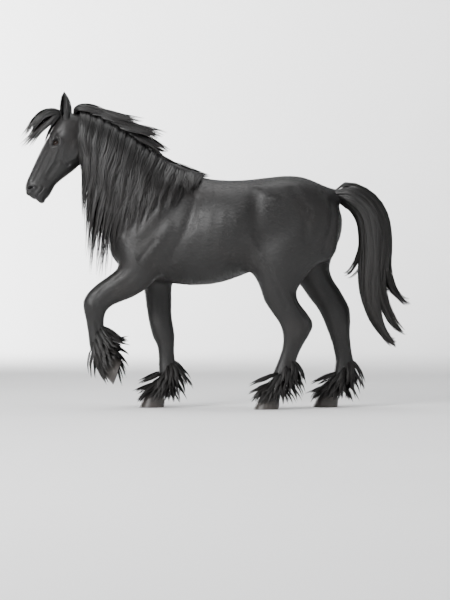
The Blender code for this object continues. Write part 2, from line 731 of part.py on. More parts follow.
def fallen(tree, root, heading, pull, length, lift, width, stiff=0.55):
    """A guide that leaves its root along the heading, is drawn by the pull, and rests on the flesh."""
    heading, pull = Vector(heading).normalized(), Vector(pull).normalized()
    steps = max(5, round(length / STRIDE))
    points = [tree.find_nearest(Vector(root))[0]]
    for _ in range(steps):
        heading = (heading * stiff + pull * (1 - stiff)).normalized()
        point, _ = off_the_flesh(tree, points[-1] + heading * length / steps, lift)
        heading = (point - points[-1]).normalized()
        points.append(point)
    return rooted(tree, points, lift, width)


def blown(tree, root, middle, tip, lift, width, steps=5):
    """A guide on one bend from its root past a middle point to its tip, kept off the flesh."""
    root, middle, tip = Vector(root), Vector(middle), Vector(tip)
    points = []
    for i in range(steps + 1):
        t = i / steps
        points.append(root * (1 - t) ** 2 + middle * 2 * t * (1 - t) + tip * t * t)
    return rooted(tree, points, lift, width)


def edgewise(guide, side):
    """The guide with its flat turned to face sideways."""
    return [(point, Vector((0, side, 0.25)).normalized()) for point, _ in guide]


def lock(guide, width, thick):
    """A lock along a guide: flat beneath and ridged on top, widest a third of the way down, with a tip."""
    count = len(guide) - 1
    points, faces = [], []
    for i in range(count):
        point, normal = guide[i]
        ahead = (guide[i + 1][0] - guide[max(i - 1, 0)][0]).normalized()
        side = ahead.cross(normal).normalized()
        out = side.cross(ahead)
        share = i / count
        half = width / 2 * min(1, 0.6 + 1.3 * share) * (1 - share**4)
        deep = thick / 2 * (1 - 0.5 * share)
        points += [point + side * half - out * deep, point + out * deep, point - side * half - out * deep]
    points.append(guide[-1][0])
    for i in range(count - 1):
        for j in range(3):
            k = (j + 1) % 3
            faces.append((i * 3 + j, i * 3 + k, i * 3 + 3 + k, i * 3 + 3 + j))
    last = 3 * (count - 1)
    faces += [(last + j, last + (j + 1) % 3, last + 3) for j in range(3)]
    faces.append((2, 1, 0))
    return face_outwards(mesh_object("lock", points, faces))


def grown(obj, locks):
    """The node with its locks fused to it."""
    boolean(obj, locks, "UNION", "MANIFOLD")
    return largest_surface(obj)


def crest(share, y=0.0):
    """A point of the crest: 0 at the poll, 1 at the withers."""
    line = np.array([(s[0], s[1]) for s in NECK[::-1]])
    walked = np.concatenate([[0], np.cumsum(np.hypot(*np.diff(line, axis=0).T))])
    at = share * walked[-1]
    return Vector((np.interp(at, walked, line[:, 0]), y, np.interp(at, walked, line[:, 1])))


# Along the crest: the share of its length, and where the longest locks rooted there end, side view x z.
MANE_TIPS = (
    (0.10, -0.925, 1.300),
    (0.18, -0.890, 1.080),
    (0.27, -0.872, 0.965),
    (0.37, -0.800, 0.930),
    (0.48, -0.690, 1.020),
    (0.60, -0.560, 1.150),
    (0.70, -0.440, 1.260),
)
# Layers of the hanging mane: the side, locks, share of the full length, width, lift off the flesh, root y.
MANE_LAYERS = (
    (NEAR, 9, 1.00, 0.090, 0.013, 0.028),
    (NEAR, 8, 0.86, 0.080, 0.030, 0.014),
    (NEAR, 5, 0.58, 0.070, 0.046, 0.004),
    (FAR, 7, 0.66, 0.094, 0.013, 0.028),
    (FAR, 4, 0.46, 0.080, 0.030, 0.014),
)
LOCK_THICK = 0.015


def mane_tip(share):
    """Where the longest lock rooted at that share of the crest ends, side view x z."""
    shares, xs, zs = zip(*MANE_TIPS)
    return np.interp(share, shares, xs), np.interp(share, shares, zs)


def hanging_mane(tree, draw):
    locks = []
    first, last = MANE_TIPS[0][0], MANE_TIPS[-1][0]
    for side, count, part, width, lift, root in MANE_LAYERS:
        for i in range(count):
            share = first + (last - first) * (i + 0.5) / count
            start = crest(share, root * side)
            x, z = mane_tip(share + draw.uniform(-0.02, 0.02))
            end = start.lerp(Vector((x, start.y, z)), part * draw.uniform(0.92, 1.04))
            end.y = 0.15 * side
            middle = start.lerp(end, 0.40) + Vector((0.03, 0.10 * side, 0.05))
            wide = width * draw.uniform(0.85, 1.1)
            steps = max(4, round((start - end).length / STRIDE))
            guide = blown(tree, start, middle, end, lift + 0.008 * (i % 2), wide, steps)
            locks.append(lock(guide, wide, LOCK_THICK))
    return locks


# Where bundles of blown locks start along the crest, where their tips stand, x z, how high they arch
# and lift, and how many locks they have. The first arches forwards, over the poll.
CREST_BUNDLES = (
    (0.13, (-1.000, 2.095), 0.075, 0.012, 1),
    (0.09, (-0.502, 2.005), 0.020, 0.012, 3),
    (0.26, (-0.329, 1.905), 0.005, 0.012, 3),
    (0.44, (-0.294, 1.787), -0.010, 0.012, 2),
    (0.60, (-0.045, 1.612), -0.020, 0.044, 2),
)


def blown_mane(tree, draw):
    locks = []
    for share, (x, z), arch, lift, count in CREST_BUNDLES:
        for k, y in enumerate((0.0, -0.030, 0.030)[:count]):
            start = crest(share + 0.05 * k, y * 0.7)
            tip = Vector((x - 0.045 * k, y * 1.3, z - 0.030 * k + draw.uniform(-0.01, 0.01)))
            bend = (start + tip) / 2 + Vector((0, y, arch - 0.012 * k))
            guide = blown(tree, start, bend, tip, lift, 0.02)
            locks.append(lock(edgewise(guide, 1 if y >= 0 else -1), 0.062 - 0.006 * k, 0.018))
    return locks


# The forelock's two bundles: the point each bends over and its tip, side view x z.
FORELOCK_BUNDLES = (
    (4, (-1.215, 2.125), (-1.340, 1.898)),
    (4, (-1.150, 2.030), (-1.354, 1.835)),
)
FOREHEAD_LOCKS = 3


def forelock(tree, draw):
    locks = []
    root = head_point(0.012, -0.005)
    for count, middle, tip in FORELOCK_BUNDLES:
        for k in range(count):
            y = 0.034 * (2 * k / (count - 1) - 1)
            back = abs(k - (count - 1) / 2) / count
            start = Vector((root[0], y * 0.5, root[2]))
            bend = Vector((middle[0] + 0.05 * back, y * 1.3, middle[1] - 0.03 * back))
            end = Vector((tip[0] + 0.14 * back, y * 1.1, tip[1] + draw.uniform(-0.03, 0.02)))
            guide = blown(tree, start, bend, end, 0.016, 0.02)
            locks.append(lock(edgewise(guide, 1 if y >= 0 else -1), 0.050, 0.013))
    for k in range(FOREHEAD_LOCKS):
        y = 0.034 * (k - (FOREHEAD_LOCKS - 1) / 2)
        start = head_point(0.030, 0.0, y)
        pull = HEAD_DOWN + np.array([0, 1.2 * y, 0])
        guide = fallen(tree, start, pull, pull, draw.uniform(0.20, 0.27), 0.009 + 0.006 * (k % 2), 0.04)
        locks.append(lock(guide, 0.044, 0.010))
    return locks


def leg_axis(name, walked):
    """The middle of a lower leg, that far along it from the sole."""
    places = [FEET[name].sole]
    for xa, za, xb, zb, y, *_ in leg_stations(name)[::-1]:
        places.append(np.array([(xa + xb) / 2, y, (za + zb) / 2]))
    places = np.array(places)
    distance = np.concatenate([[0], np.cumsum(np.linalg.norm(np.diff(places, axis=0), axis=1))])
    return Vector([np.interp(walked, distance, places[:, k]) for k in range(3)])


# How far out the feather's tips stand round a leg, from its front (0) to its back (1).
FEATHER_REACH = ((0.0, 0.125), (0.25, 0.125), (0.5, 0.122), (0.75, 0.175), (1.0, 0.240))
# How much lower down the leg a lock of feather ends than it starts.
FEATHER_DROP = 0.152
# Rows of feather: locks, how far up the leg they root, the half turn they cover from the heel, their reach.
FEATHER_ROWS = (
    (4, 0.365, 0.45 * math.pi, 0.96),
    (5, 0.287, 0.65 * math.pi, 1.03),
    (7, 0.205, 6 / 7 * math.pi, 1.00),
)


def off_the_leg(name, walked, turn):
    """The leg's middle that far up from its sole, and the way out of it at a turn from its front.

    The front turns from the way the toe points, at the hoof, to straight ahead at the fetlock.
    """
    above = min(1, max(0, (walked - 0.05) / 0.20))
    front = Vector(FEET[name].toe).lerp(Vector((-1, 0, 0)), above).normalized()
    return leg_axis(name, walked), front * math.cos(turn) + Vector((0, math.sin(turn), 0))


def feather_guide(tree, name, walked, turn, reach, lift):
    """A guide from the leg, that far up it, at a turn from its front, flaring to its tip."""
    middle, out = off_the_leg(name, walked, turn)
    spot = tree.ray_cast(middle + out * 0.25, -out)[0]
    share = abs((turn + math.pi) % (2 * math.pi) - math.pi) / math.pi
    low, away = off_the_leg(name, walked - FEATHER_DROP, turn)
    tip = low + away * np.interp(share, *zip(*FEATHER_REACH)) * reach
    return blown(tree, spot, (spot + tip) / 2 + out * 0.030, tip, lift, 0.085, 3)


def feather(tree, name, draw):
    locks = []
    for count, walked, spread, reach in FEATHER_ROWS:
        for k in range(count):
            guide = feather_guide(
                tree,
                name,
                walked + draw.uniform(-0.01, 0.01),
                math.pi + spread * (2 * k / (count - 1) - 1) + draw.uniform(-0.08, 0.08),
                reach * draw.uniform(0.92, 1.03),
                0.011,
            )
            locks.append(lock(guide, 0.074 * draw.uniform(0.85, 1.1), 0.013))
    return locks


# The tail hangs along this line, side view x z, with the half widths in its own plane and across it.
TAIL = (
    (0.850, 1.485, 0.054, 0.046),
    (0.900, 1.486, 0.074, 0.060),
    (0.975, 1.454, 0.088, 0.075),
    (1.048, 1.396, 0.096, 0.085),
    (1.093, 1.320, 0.104, 0.092),
    (1.113, 1.233, 0.110, 0.096),
    (1.117, 1.122, 0.114, 0.098),
    (1.114, 1.011, 0.115, 0.094),
    (1.114, 0.890, 0.112, 0.086),
    (1.119, 0.769, 0.104, 0.076),
    (1.139, 0.665, 0.090, 0.062),
    (1.181, 0.554, 0.064, 0.044),
    (1.250, 0.450, 0.012, 0.010),
)
TAIL_NORMAL = (0.995, 0.0, -0.100)
TAIL_CUT = ((0.850, 1.478), (0.995, -0.100), (0.10, 0.062), 0.20, (-0.1, 0.1))
TAIL_SPLIT = ((1.095, 1.290), (0.20, -0.98), (0.4, 0.4), 1.2, (-0.4, 0.4))


TAIL_CORE_END = 0.50
TAIL_LOCKS = 12
TAIL_STEPS = 7
# Bundles that the tail ends in: up to which turn from its rear edge, how far down, and the tip, x y z.
TAIL_TIPS = (
    (0.20, 0.76, (1.354, 0.0, 0.742)),
    (0.45, 0.90, (1.328, 0.0, 0.536)),
    (1.01, 1.00, (1.256, 0.0, 0.440)),
)
# Locks at the tail's front edge that part from it early: the turn from its rear edge, and the tip.
INNER_TAIL_LOCKS = (
    (0.92 * math.pi, (0.925, 0.010, 0.907)),
    (1.10 * math.pi, (0.955, -0.030, 0.860)),
)


def tail_frame(share):
    """The tail's middle at a share of its length, the way along it, the way to its rear edge, its halves."""
    line = catmull_rom(TAIL, 4)
    walked = np.concatenate([[0], np.cumsum(np.hypot(*np.diff(line[:, :2], axis=0).T))])
    at = share * walked[-1]
    x, z, deep, wide = [np.interp(at, walked, line[:, k]) for k in range(4)]
    slope = np.gradient(line[:, :2], axis=0)
    ahead = np.array([np.interp(at, walked, slope[:, 0]), 0, np.interp(at, walked, slope[:, 1])])
    ahead = ahead / np.linalg.norm(ahead)
    back = np.array([-ahead[2], 0, ahead[0]])
    return np.array([x, 0, z]), ahead, back, deep, wide


def tail_point(share, turn, part):
    middle, _, back, deep, wide = tail_frame(share)
    side = np.array([0, 1, 0])
    out = back * math.cos(turn) * deep + side * math.sin(turn) * wide
    return Vector(middle + out * part), Vector(out).normalized()


def tail_core():
    """The dock and the hair packed round it: it tapers away half way to the tips."""
    rings = []
    turns = 2 * math.pi * np.arange(TAIL_LOCKS) / TAIL_LOCKS
    for i in range(TAIL_STEPS):
        share = i / (TAIL_STEPS - 1)
        part = 0.90 * (1 - max(0, (share - 0.6) / 0.4) ** 2 * 0.93)
        rings.append([tail_point(TAIL_CORE_END * share, turn, part)[0] for turn in turns])
    out = Vector(TAIL_NORMAL).normalized()
    face = Vector((TAIL_CUT[0][0], 0, TAIL_CUT[0][1])) + out * GAP
    rings[0] = [point - out * (point - face).dot(out) for point in rings[0]]
    return skin_over("tail", rings)


def tail_lock(turn, start, end, tip, part):
    """A guide down the tail at a turn from its rear edge, drawn in to its bundle's tip."""
    guide = []
    for i in range(TAIL_STEPS + 1):
        share = i / TAIL_STEPS
        at = start + (end - start) * share
        sunk = max(0, 1 - at / TAIL_CORE_END)
        point, out = tail_point(at, turn, part - 0.10 * min(1, 3 * sunk))
        pull = max(0, (share - 0.78) / 0.22)
        pull = pull * pull * (3 - 2 * pull)
        guide.append((point.lerp(tip, pull), out))
    return guide


def tail_locks(draw):
    locks = []
    for k in range(TAIL_LOCKS):
        turn = 2 * math.pi * (k + 0.5) / TAIL_LOCKS
        off = abs((turn + math.pi) % (2 * math.pi) - math.pi) / math.pi
        _, end, tip = next(row for row in TAIL_TIPS if off < row[0])
        spread = (draw.uniform(-0.03, 0.015), 0.03 * math.sin(turn), draw.uniform(-0.01, 0.05))
        guide = tail_lock(turn, 0.07, end, Vector(tip) + Vector(spread), 0.97 + 0.08 * (k % 2))
        locks.append(lock(guide, 0.084, 0.028))
    for turn, tip in INNER_TAIL_LOCKS:
        locks.append(lock(tail_lock(turn, 0.30, 0.62, Vector(tip), 0.92), 0.060, 0.024))
    return locks


COAT_BLACK = ("coat", (0.016, 0.015, 0.015), 0.45)
HAIR_BLACK = ("long_hair", (0.012, 0.012, 0.012), 0.40)
HORN_DARK = ("hoof_horn", (0.035, 0.030, 0.027), 0.50)
EYE_DARK = ("eye", (0.010, 0.005, 0.003), 0.05)


def dress(obj, finish):
    name, colour, rough = finish
    material = bpy.data.materials.new(f"{name}_{obj.name}")
    material.use_nodes = True
    shader = material.node_tree.nodes["Principled BSDF"]
    shader.inputs["Base Color"].default_value = (*colour, 1)
    shader.inputs["Roughness"].default_value = rough
    shader.inputs["Metallic"].default_value = 0.0
    obj.data.materials.clear()
    obj.data.materials.append(material)
    obj.data.shade_smooth()
    obj.data.set_sharp_from_angle(angle=math.radians(50))


def stand_on_origin(nodes):
    """Hangs every node on one empty, set so that the middle of the whole stands on the origin."""
    points = np.array([vert.co[:] for obj in nodes for vert in obj.data.vertices])
    low, high = points.min(axis=0), points.max(axis=0)
    ground = bpy.data.objects.new("ground", None)
    bpy.context.scene.collection.objects.link(ground)
    ground.location = (-(low[0] + high[0]) / 2, -(low[1] + high[1]) / 2, -low[2])
    for obj in nodes:
        obj.parent = ground


def main():
    clear_scene()
    pieces = [loft("flesh", TRUNK), loft("flesh", NECK), loft("flesh", head_stations())]
    pieces += [loft("flesh", leg_stations(name)) for name in LEGS]
    pieces += [loft("flesh", DOCK)] + muscle_pairs() + head_muscle_pairs()
    flesh = fused("flesh", pieces, 0.012, 36, 3000)
    front = [loft("flesh", NECK), loft("flesh", head_stations())] + head_muscle_pairs()
    fine = fused("fine", front, 0.006, 10, 1900)

    head = piece(fine, "head", inside=[CUTS["head"]])
    neck = piece(flesh, "neck", inside=[CUTS["neck"]], outside=[CUTS["head"]])
    torso = piece(flesh, "torso", outside=[CUTS[n] for n in ("neck", *LEGS)] + [TAIL_CUT])
    lower, nodes = {}, [head, neck, torso]
    for name, foot in FEET.items():
        joint = CUTS[LOWER_JOINT[name]]
        upper = piece(flesh, name + "_upper", inside=[CUTS[name]], outside=[joint])
        lower[name] = piece(
            flesh, name + "_lower", inside=[CUTS[name], joint], outside=[coronet_cut(foot)]
        )
        nodes += [upper, lower[name], hoof(foot)]
    removed(flesh, fine)
    hooves = nodes[5::3]
    tree = tree_of(nodes)

    draw = random.Random(SEED)
    grown(neck, hanging_mane(tree, draw) + blown_mane(tree, draw))
    grown(head, forelock(tree, draw))
    for name in FEET:
        grown(lower[name], feather(tree, name, draw))
    tail = grown(tail_core(), tail_locks(draw))
    root = piece(tail, "tail_root", outside=[TAIL_SPLIT])
    fall = piece(tail, "tail_fall", inside=[TAIL_SPLIT])
    removed(tail)
    nodes += [root, fall]

    eyes, ears = [], []
    for side in (NEAR, FAR):
        ball, centre = eye(side)
        boolean(head, lid(centre, side), "UNION")
        clear_of(head, ball)
        boolean(head, nostril_cutter(side), "DIFFERENCE")
        eyes.append(ball)
        ears.append(clear_of(ear(side), head))
    boolean(head, mouth_cutter(head), "DIFFERENCE")
    nodes += eyes + ears
    for obj in nodes:
        dress(obj, COAT_BLACK)
    for obj in hooves:
        dress(obj, HORN_DARK)
    for obj in eyes:
        dress(obj, EYE_DARK)
    for obj in (root, fall):
        dress(obj, HAIR_BLACK)
    stand_on_origin(nodes)


main()
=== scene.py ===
"""A life-size Friesian horse at a walk: its skin, eyes, ears, hooves, short coat and long hair.

Metres, +Z up. The horse faces -X and its near (left) side faces -Y. Lengths along the body are read in
side view from a mark under the middle of the body, and Placing moves them to where the solids stand.
"""

import logging
import math
from dataclasses import dataclass, field
from enum import Enum
from typing import Any

import bmesh
import bpy
import numpy as np
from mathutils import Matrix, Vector


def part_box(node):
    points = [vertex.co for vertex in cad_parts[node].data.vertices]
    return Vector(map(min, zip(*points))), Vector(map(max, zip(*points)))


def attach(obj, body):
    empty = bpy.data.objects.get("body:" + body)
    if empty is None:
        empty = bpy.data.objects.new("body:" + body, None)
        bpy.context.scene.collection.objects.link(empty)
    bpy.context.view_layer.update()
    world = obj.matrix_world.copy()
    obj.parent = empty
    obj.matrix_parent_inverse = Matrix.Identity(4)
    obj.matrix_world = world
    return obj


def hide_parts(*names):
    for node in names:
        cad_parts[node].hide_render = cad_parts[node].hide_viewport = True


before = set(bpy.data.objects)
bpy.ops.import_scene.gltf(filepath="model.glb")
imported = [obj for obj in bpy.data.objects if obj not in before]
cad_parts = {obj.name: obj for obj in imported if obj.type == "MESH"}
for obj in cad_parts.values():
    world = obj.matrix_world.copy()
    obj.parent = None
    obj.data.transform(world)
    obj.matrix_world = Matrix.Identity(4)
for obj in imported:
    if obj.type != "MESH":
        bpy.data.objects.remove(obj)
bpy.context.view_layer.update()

Array = np.ndarray
Draw = np.random.Generator
Material = bpy.types.Material
Mesh = bpy.types.Mesh
Piece = bpy.types.Object
Tree = bpy.types.NodeTree
log = logging.getLogger("horse")
SIDEWAYS = np.array([0, 1.0, 0])


class Side(Enum):
    """The horse's two sides, as the sign of Y."""

    NEAR = -1
    FAR = 1


class Limb(Enum):
    """The four legs, named as their solids are."""

    FORE_FAR = "fore_far"
    FORE_NEAR = "fore_near"
    HIND_NEAR = "hind_near"
    HIND_FAR = "hind_far"


# Small tools for arrays, meshes and nodes


def linear(code: str) -> tuple[float, float, float, float]:
    """Turns an sRGB hex colour to linear light.

    Args:
        code: Six hex digits.

    Returns:
        Red, green, blue and an alpha of 1.
    """
    parts = [int(code[i : i + 2], 16) / 255 for i in (0, 2, 4)]
    light = [c / 12.92 if c <= 0.04045 else ((c + 0.055) / 1.055) ** 2.4 for c in parts]
    return (light[0], light[1], light[2], 1.0)


def fill(tree: Tree, node: Any, inputs: dict[Any, Any]) -> None:
    """Sets a node's inputs, by name or number, to values or links them to sockets."""
    for key, value in inputs.items():
        if isinstance(value, bpy.types.NodeSocket):
            tree.links.new(value, node.inputs[key])
        else:
            node.inputs[key].default_value = value


def add_node(tree: Tree, kind: str, inputs: dict[Any, Any], **settings: Any) -> Any:
    """Adds a node with its settings and inputs.

    Args:
        tree: The material's node tree.
        kind: The node's type.
        inputs: Values, or sockets to link from, by the input's name or number.
        **settings: Properties of the node itself.

    Returns:
        The node.
    """
    node = tree.nodes.new(kind)
    for name, value in settings.items():
        setattr(node, name, value)
    fill(tree, node, inputs)
    return node


def mixed(tree: Tree, share: Any, first: Any, second: Any, **settings: Any) -> Any:
    """Two colours mixed by a share, or two numbers with data_type FLOAT."""
    settings = {"data_type": "RGBA", **settings}
    a, b, output = (6, 7, 2) if settings["data_type"] == "RGBA" else (2, 3, 0)
    return add_node(tree, "ShaderNodeMix", {0: share, a: first, b: second}, **settings).outputs[output]


def ranged(tree: Tree, value: Any, *limits: float) -> Any:
    """A number taken from its own lowest and highest to new ones, 0 and 1 unless given."""
    names = ("From Min", "From Max", "To Min", "To Max")
    return add_node(tree, "ShaderNodeMapRange", {"Value": value, **dict(zip(names, limits))}).outputs[0]


def noise(tree: Tree, where: Any, scale: float, detail: float, rough: float = 0.5) -> Any:
    """Noise from 0 to 1, its scale in repeats a unit of the coordinates."""
    inputs = {"Vector": where, "Scale": scale, "Detail": detail, "Roughness": rough}
    return add_node(tree, "ShaderNodeTexNoise", inputs).outputs[0]


def mapped(tree: Tree, vector: Any, inputs: dict[str, Any], kind: str = "POINT") -> Any:
    """Coordinates moved, turned or scaled."""
    return add_node(tree, "ShaderNodeMapping", {"Vector": vector, **inputs}, vector_type=kind).outputs[0]


def bumped(tree: Tree, height: Any, strength: float, distance: float) -> Any:
    """The way out of a surface with a fine relief, that many metres deep at most."""
    inputs = {"Height": height, "Strength": strength, "Distance": distance}
    return add_node(tree, "ShaderNodeBump", inputs).outputs[0]


def read_map(tree: Tree, name: str) -> Any:
    """The coordinates of the mesh's UV map of that name."""
    return add_node(tree, "ShaderNodeUVMap", {}, uv_map=name).outputs[0]


def new_material(name: str) -> tuple[Material, Tree, Any]:
    """A material with its node tree and its Principled shader."""
    made = bpy.data.materials.new(name)
    made.use_nodes = True
    return made, made.node_tree, made.node_tree.nodes["Principled BSDF"]


def smooth(low: float, high: float, value: Array) -> Array:
    """An S-shaped step: 0 up to low, 1 from high on."""
    t = np.clip((value - low) / (high - low), 0, 1)
    return t * t * (3 - 2 * t)


def powered(values: Array, power: Any) -> Array:
    """The values to a power, with their signs kept."""
    return np.sign(values) * np.abs(values) ** power


def unit(vectors: Array) -> Array:
    """The vectors at length 1."""
    return vectors / np.maximum(np.linalg.norm(vectors, axis=-1, keepdims=True), 1e-9)


def flowing(rows: Array, per_span: int) -> Array:
    """A smooth curve through rows of numbers.

    Each span is a cubic whose slope at a row is half the difference of the rows on its two sides.

    Args:
        rows: The rows that the curve passes through.
        per_span: Points on each span.

    Returns:
        The curve's rows, the last one included.
    """
    rows = np.asarray(rows, float)
    padded = np.vstack([2 * rows[0] - rows[1], rows, 2 * rows[-1] - rows[-2]])
    t = (np.arange(per_span) / per_span)[None, :, None]
    p0, p1, p2, p3 = (padded[k : k + len(rows) - 1, None] for k in range(4))
    cubic = 2 * p1 + (p2 - p0) * t + (2 * p0 - 5 * p1 + 4 * p2 - p3) * t**2
    cubic = (cubic + (3 * p1 - p0 - 3 * p2 + p3) * t**3) / 2
    return np.vstack([cubic.reshape(-1, rows.shape[1]), rows[-1:]])


def grid_faces(rows: int, columns: int) -> Array:
    """The quads of a grid of points whose rows each close on themselves.

    Args:
        rows: Rings along the shape.
        columns: Points round each ring.

    Returns:
        Four point numbers a face.
    """
    row, column = np.meshgrid(np.arange(rows - 1), np.arange(columns), indexing="ij")
    here, beside = row * columns + column, row * columns + (column + 1) % columns
    return np.stack([here, beside, beside + columns, here + columns], -1).reshape(-1, 4)


def closed_tube(rings: Array) -> tuple[Array, list[list[int]]]:
    """Points and faces of a tube through rings of equal size, its ends closed by a fan.

    Args:
        rings: Rings by points by 3.

    Returns:
        The points, and the faces as lists of point numbers.
    """
    count, sides, _ = rings.shape
    points = np.vstack([rings.reshape(-1, 3), rings[0].mean(0), rings[-1].mean(0)])
    faces = grid_faces(count, sides).tolist()
    for start, middle in ((0, count * sides), ((count - 1) * sides, count * sides + 1)):
        faces += [[start + i, start + (i + 1) % sides, middle] for i in range(sides)]
    return points, faces


def made_piece(name: str, points: Array, faces: Any, round_off: float = 180.0) -> Piece:
    """A mesh object at the origin, smooth-shaded, with its faces turned outwards.

    Args:
        name: The object's name.
        points: Points by 3.
        faces: Lists of point numbers.
        round_off: Edges sharper than this many degrees stay sharp.

    Returns:
        The object.
    """
    mesh = bpy.data.meshes.new(name)
    faces = faces.tolist() if isinstance(faces, np.ndarray) else faces
    mesh.from_pydata(np.asarray(points, float).tolist(), [], faces)
    made = bmesh.new()
    made.from_mesh(mesh)
    bmesh.ops.recalc_face_normals(made, faces=made.faces)
    made.to_mesh(mesh)
    made.free()
    mesh.shade_smooth()
    if round_off < 180:
        mesh.set_sharp_from_angle(angle=math.radians(round_off))
    return put(name, mesh)


def put(name: str, data: Any) -> Piece:
    """Puts an object with this data into the scene."""
    piece = bpy.data.objects.new(name, data)
    bpy.context.scene.collection.objects.link(piece)
    return piece


def gathered(items: Any, name: str, width: int, kind: type = np.int32) -> Array:
    """One property of all a mesh's items, as rows of that many numbers."""
    found = np.empty(len(items) * width, kind)
    items.foreach_get(name, found)
    return found.reshape(-1, width)


def points_of(mesh: Mesh) -> Array:
    """The mesh's points as an array."""
    return gathered(mesh.vertices, "co", 3, np.float32).astype(float)


def normals_of(mesh: Mesh) -> Array:
    """The way out at each of the mesh's points."""
    return gathered(mesh.vertex_normals, "vector", 3, np.float32).astype(float)


def lay_map(mesh: Mesh, name: str, spots: Array) -> None:
    """Gives the mesh a UV map from a place on it for each of its points."""
    loops = gathered(mesh.loops, "vertex_index", 1)[:, 0]
    layer = mesh.uv_layers.new(name=name)
    layer.uv.foreach_set("vector", spots[loops].astype(np.float32).ravel())


def set_points(mesh: Mesh, points: Array) -> None:
    """Moves the mesh's points."""
    mesh.vertices.foreach_set("co", points.astype(np.float32).ravel())
    mesh.update()


def apply_modifiers(piece: Piece) -> None:
    """Puts what the object's modifiers make into its mesh."""
    graph = bpy.context.evaluated_depsgraph_get()
    mesh = bpy.data.meshes.new_from_object(piece.evaluated_get(graph))
    piece.modifiers.clear()
    piece.data = mesh


def relaxed(points: Array, edges: Array, share: Array, passes: int) -> Array:
    """Moves each point towards the mean of its neighbours, pass by pass.

    Args:
        points: Points by 3.
        edges: Edges by 2.
        share: How far each point goes in one pass.
        passes: How many passes.

    Returns:
        The moved points.
    """
    count = np.bincount(edges.ravel(), minlength=len(points))[:, None]
    for _ in range(passes):
        total = np.empty_like(points)
        for k in range(3):
            total[:, k] = np.bincount(edges[:, 0], points[edges[:, 1], k], len(points))
            total[:, k] += np.bincount(edges[:, 1], points[edges[:, 0], k], len(points))
        points = points + share[:, None] * (total / count - points)
    return points


def edges_of(mesh: Mesh) -> Array:
    """The mesh's edges as pairs of point numbers."""
    return gathered(mesh.edges, "vertices", 2)


# Where the body's parts are


@dataclass
class Placing:
    """The shift from the lengths read in side view to where the solids stand."""

    toe: float = -0.5365

    @property
    def shift(self) -> Array:
        """How far the planted fore hoof's toe and middle stand from where they were read."""
        low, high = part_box("hoof_fore_far")
        return np.array([low.x - self.toe, (low.y + high.y) / 2 - 0.098, 0.0])


@dataclass
class HeadAxes:
    """The head's own axes: down the line of the face, and back through the cheeks."""

    slope: float = math.radians(62)
    poll: tuple[float, float] = (-1.055, 2.056)
    # The eye: that far along the face line, deep behind it, and to the side.
    eye: tuple[float, float, float] = (0.222, 0.074, 0.093)

    @property
    def down(self) -> Array:
        """The way from the poll to the muzzle."""
        return np.array([-math.cos(self.slope), 0, -math.sin(self.slope)])

    @property
    def back(self) -> Array:
        """The way from the face line to the jaw."""
        return np.array([math.sin(self.slope), 0, -math.cos(self.slope)])

    def at(self, along: Any, deep: Any, y: Any = 0.0) -> Array:
        """Points of the head: that far along the face line, that deep behind it, and to the side."""
        along, deep, y = np.broadcast_arrays(np.asarray(along, float), deep, y)
        place = np.array([self.poll[0], 0, self.poll[1]])
        place = place + along[..., None] * self.down + deep[..., None] * self.back
        return place + y[..., None] * SIDEWAYS

    def read(self, points: Array) -> tuple[Array, Array]:
        """How far along the face line and how deep behind it each point is."""
        away = points - np.array([self.poll[0], 0, self.poll[1]])
        return away @ self.down, away @ self.back


SHIFT = Placing().shift
HEAD_AXES = HeadAxes()


@dataclass
class Foot:
    """One hoof: its sole's middle, the way its toe points, and the way up from its sole."""

    x: float
    y: float
    z: float = 0.0
    toe: tuple[float, float] = (-1.0, 0.0)
    coronet: tuple = ((0.040, 0.092), (-0.092, 0.060), 0.060)
    under: tuple = ((0.050, 0.055), (-0.095, 0.025), 0.066)

    @property
    def ahead(self) -> Array:
        """The way the toe points."""
        return np.array([self.toe[0], 0, self.toe[1]])

    @property
    def up(self) -> Array:
        """The way up from the sole."""
        return np.array([self.toe[1], 0, -self.toe[0]])

    def at(self, forward: float, height: float, y: float = 0.0) -> Array:
        """A point of the foot's own frame."""
        return np.array([self.x, self.y + y, self.z]) + self.ahead * forward + self.up * height

    def station(self, front: tuple, rear: tuple, half: float) -> tuple:
        """A section of the foot, as the stations of the legs are given."""
        a, b = self.at(*front), self.at(*rear)
        return (a[0], a[2], b[0], b[2], self.y, half, 2.2, 0.0)


FEET = {
    Limb.FORE_FAR: Foot(-0.449, 0.098),
    Limb.FORE_NEAR: Foot(-0.672, -0.130, 0.249, (-0.333, -0.943)),
    Limb.HIND_NEAR: Foot(0.344, -0.150),
    Limb.HIND_FAR: Foot(0.763, 0.150),
}


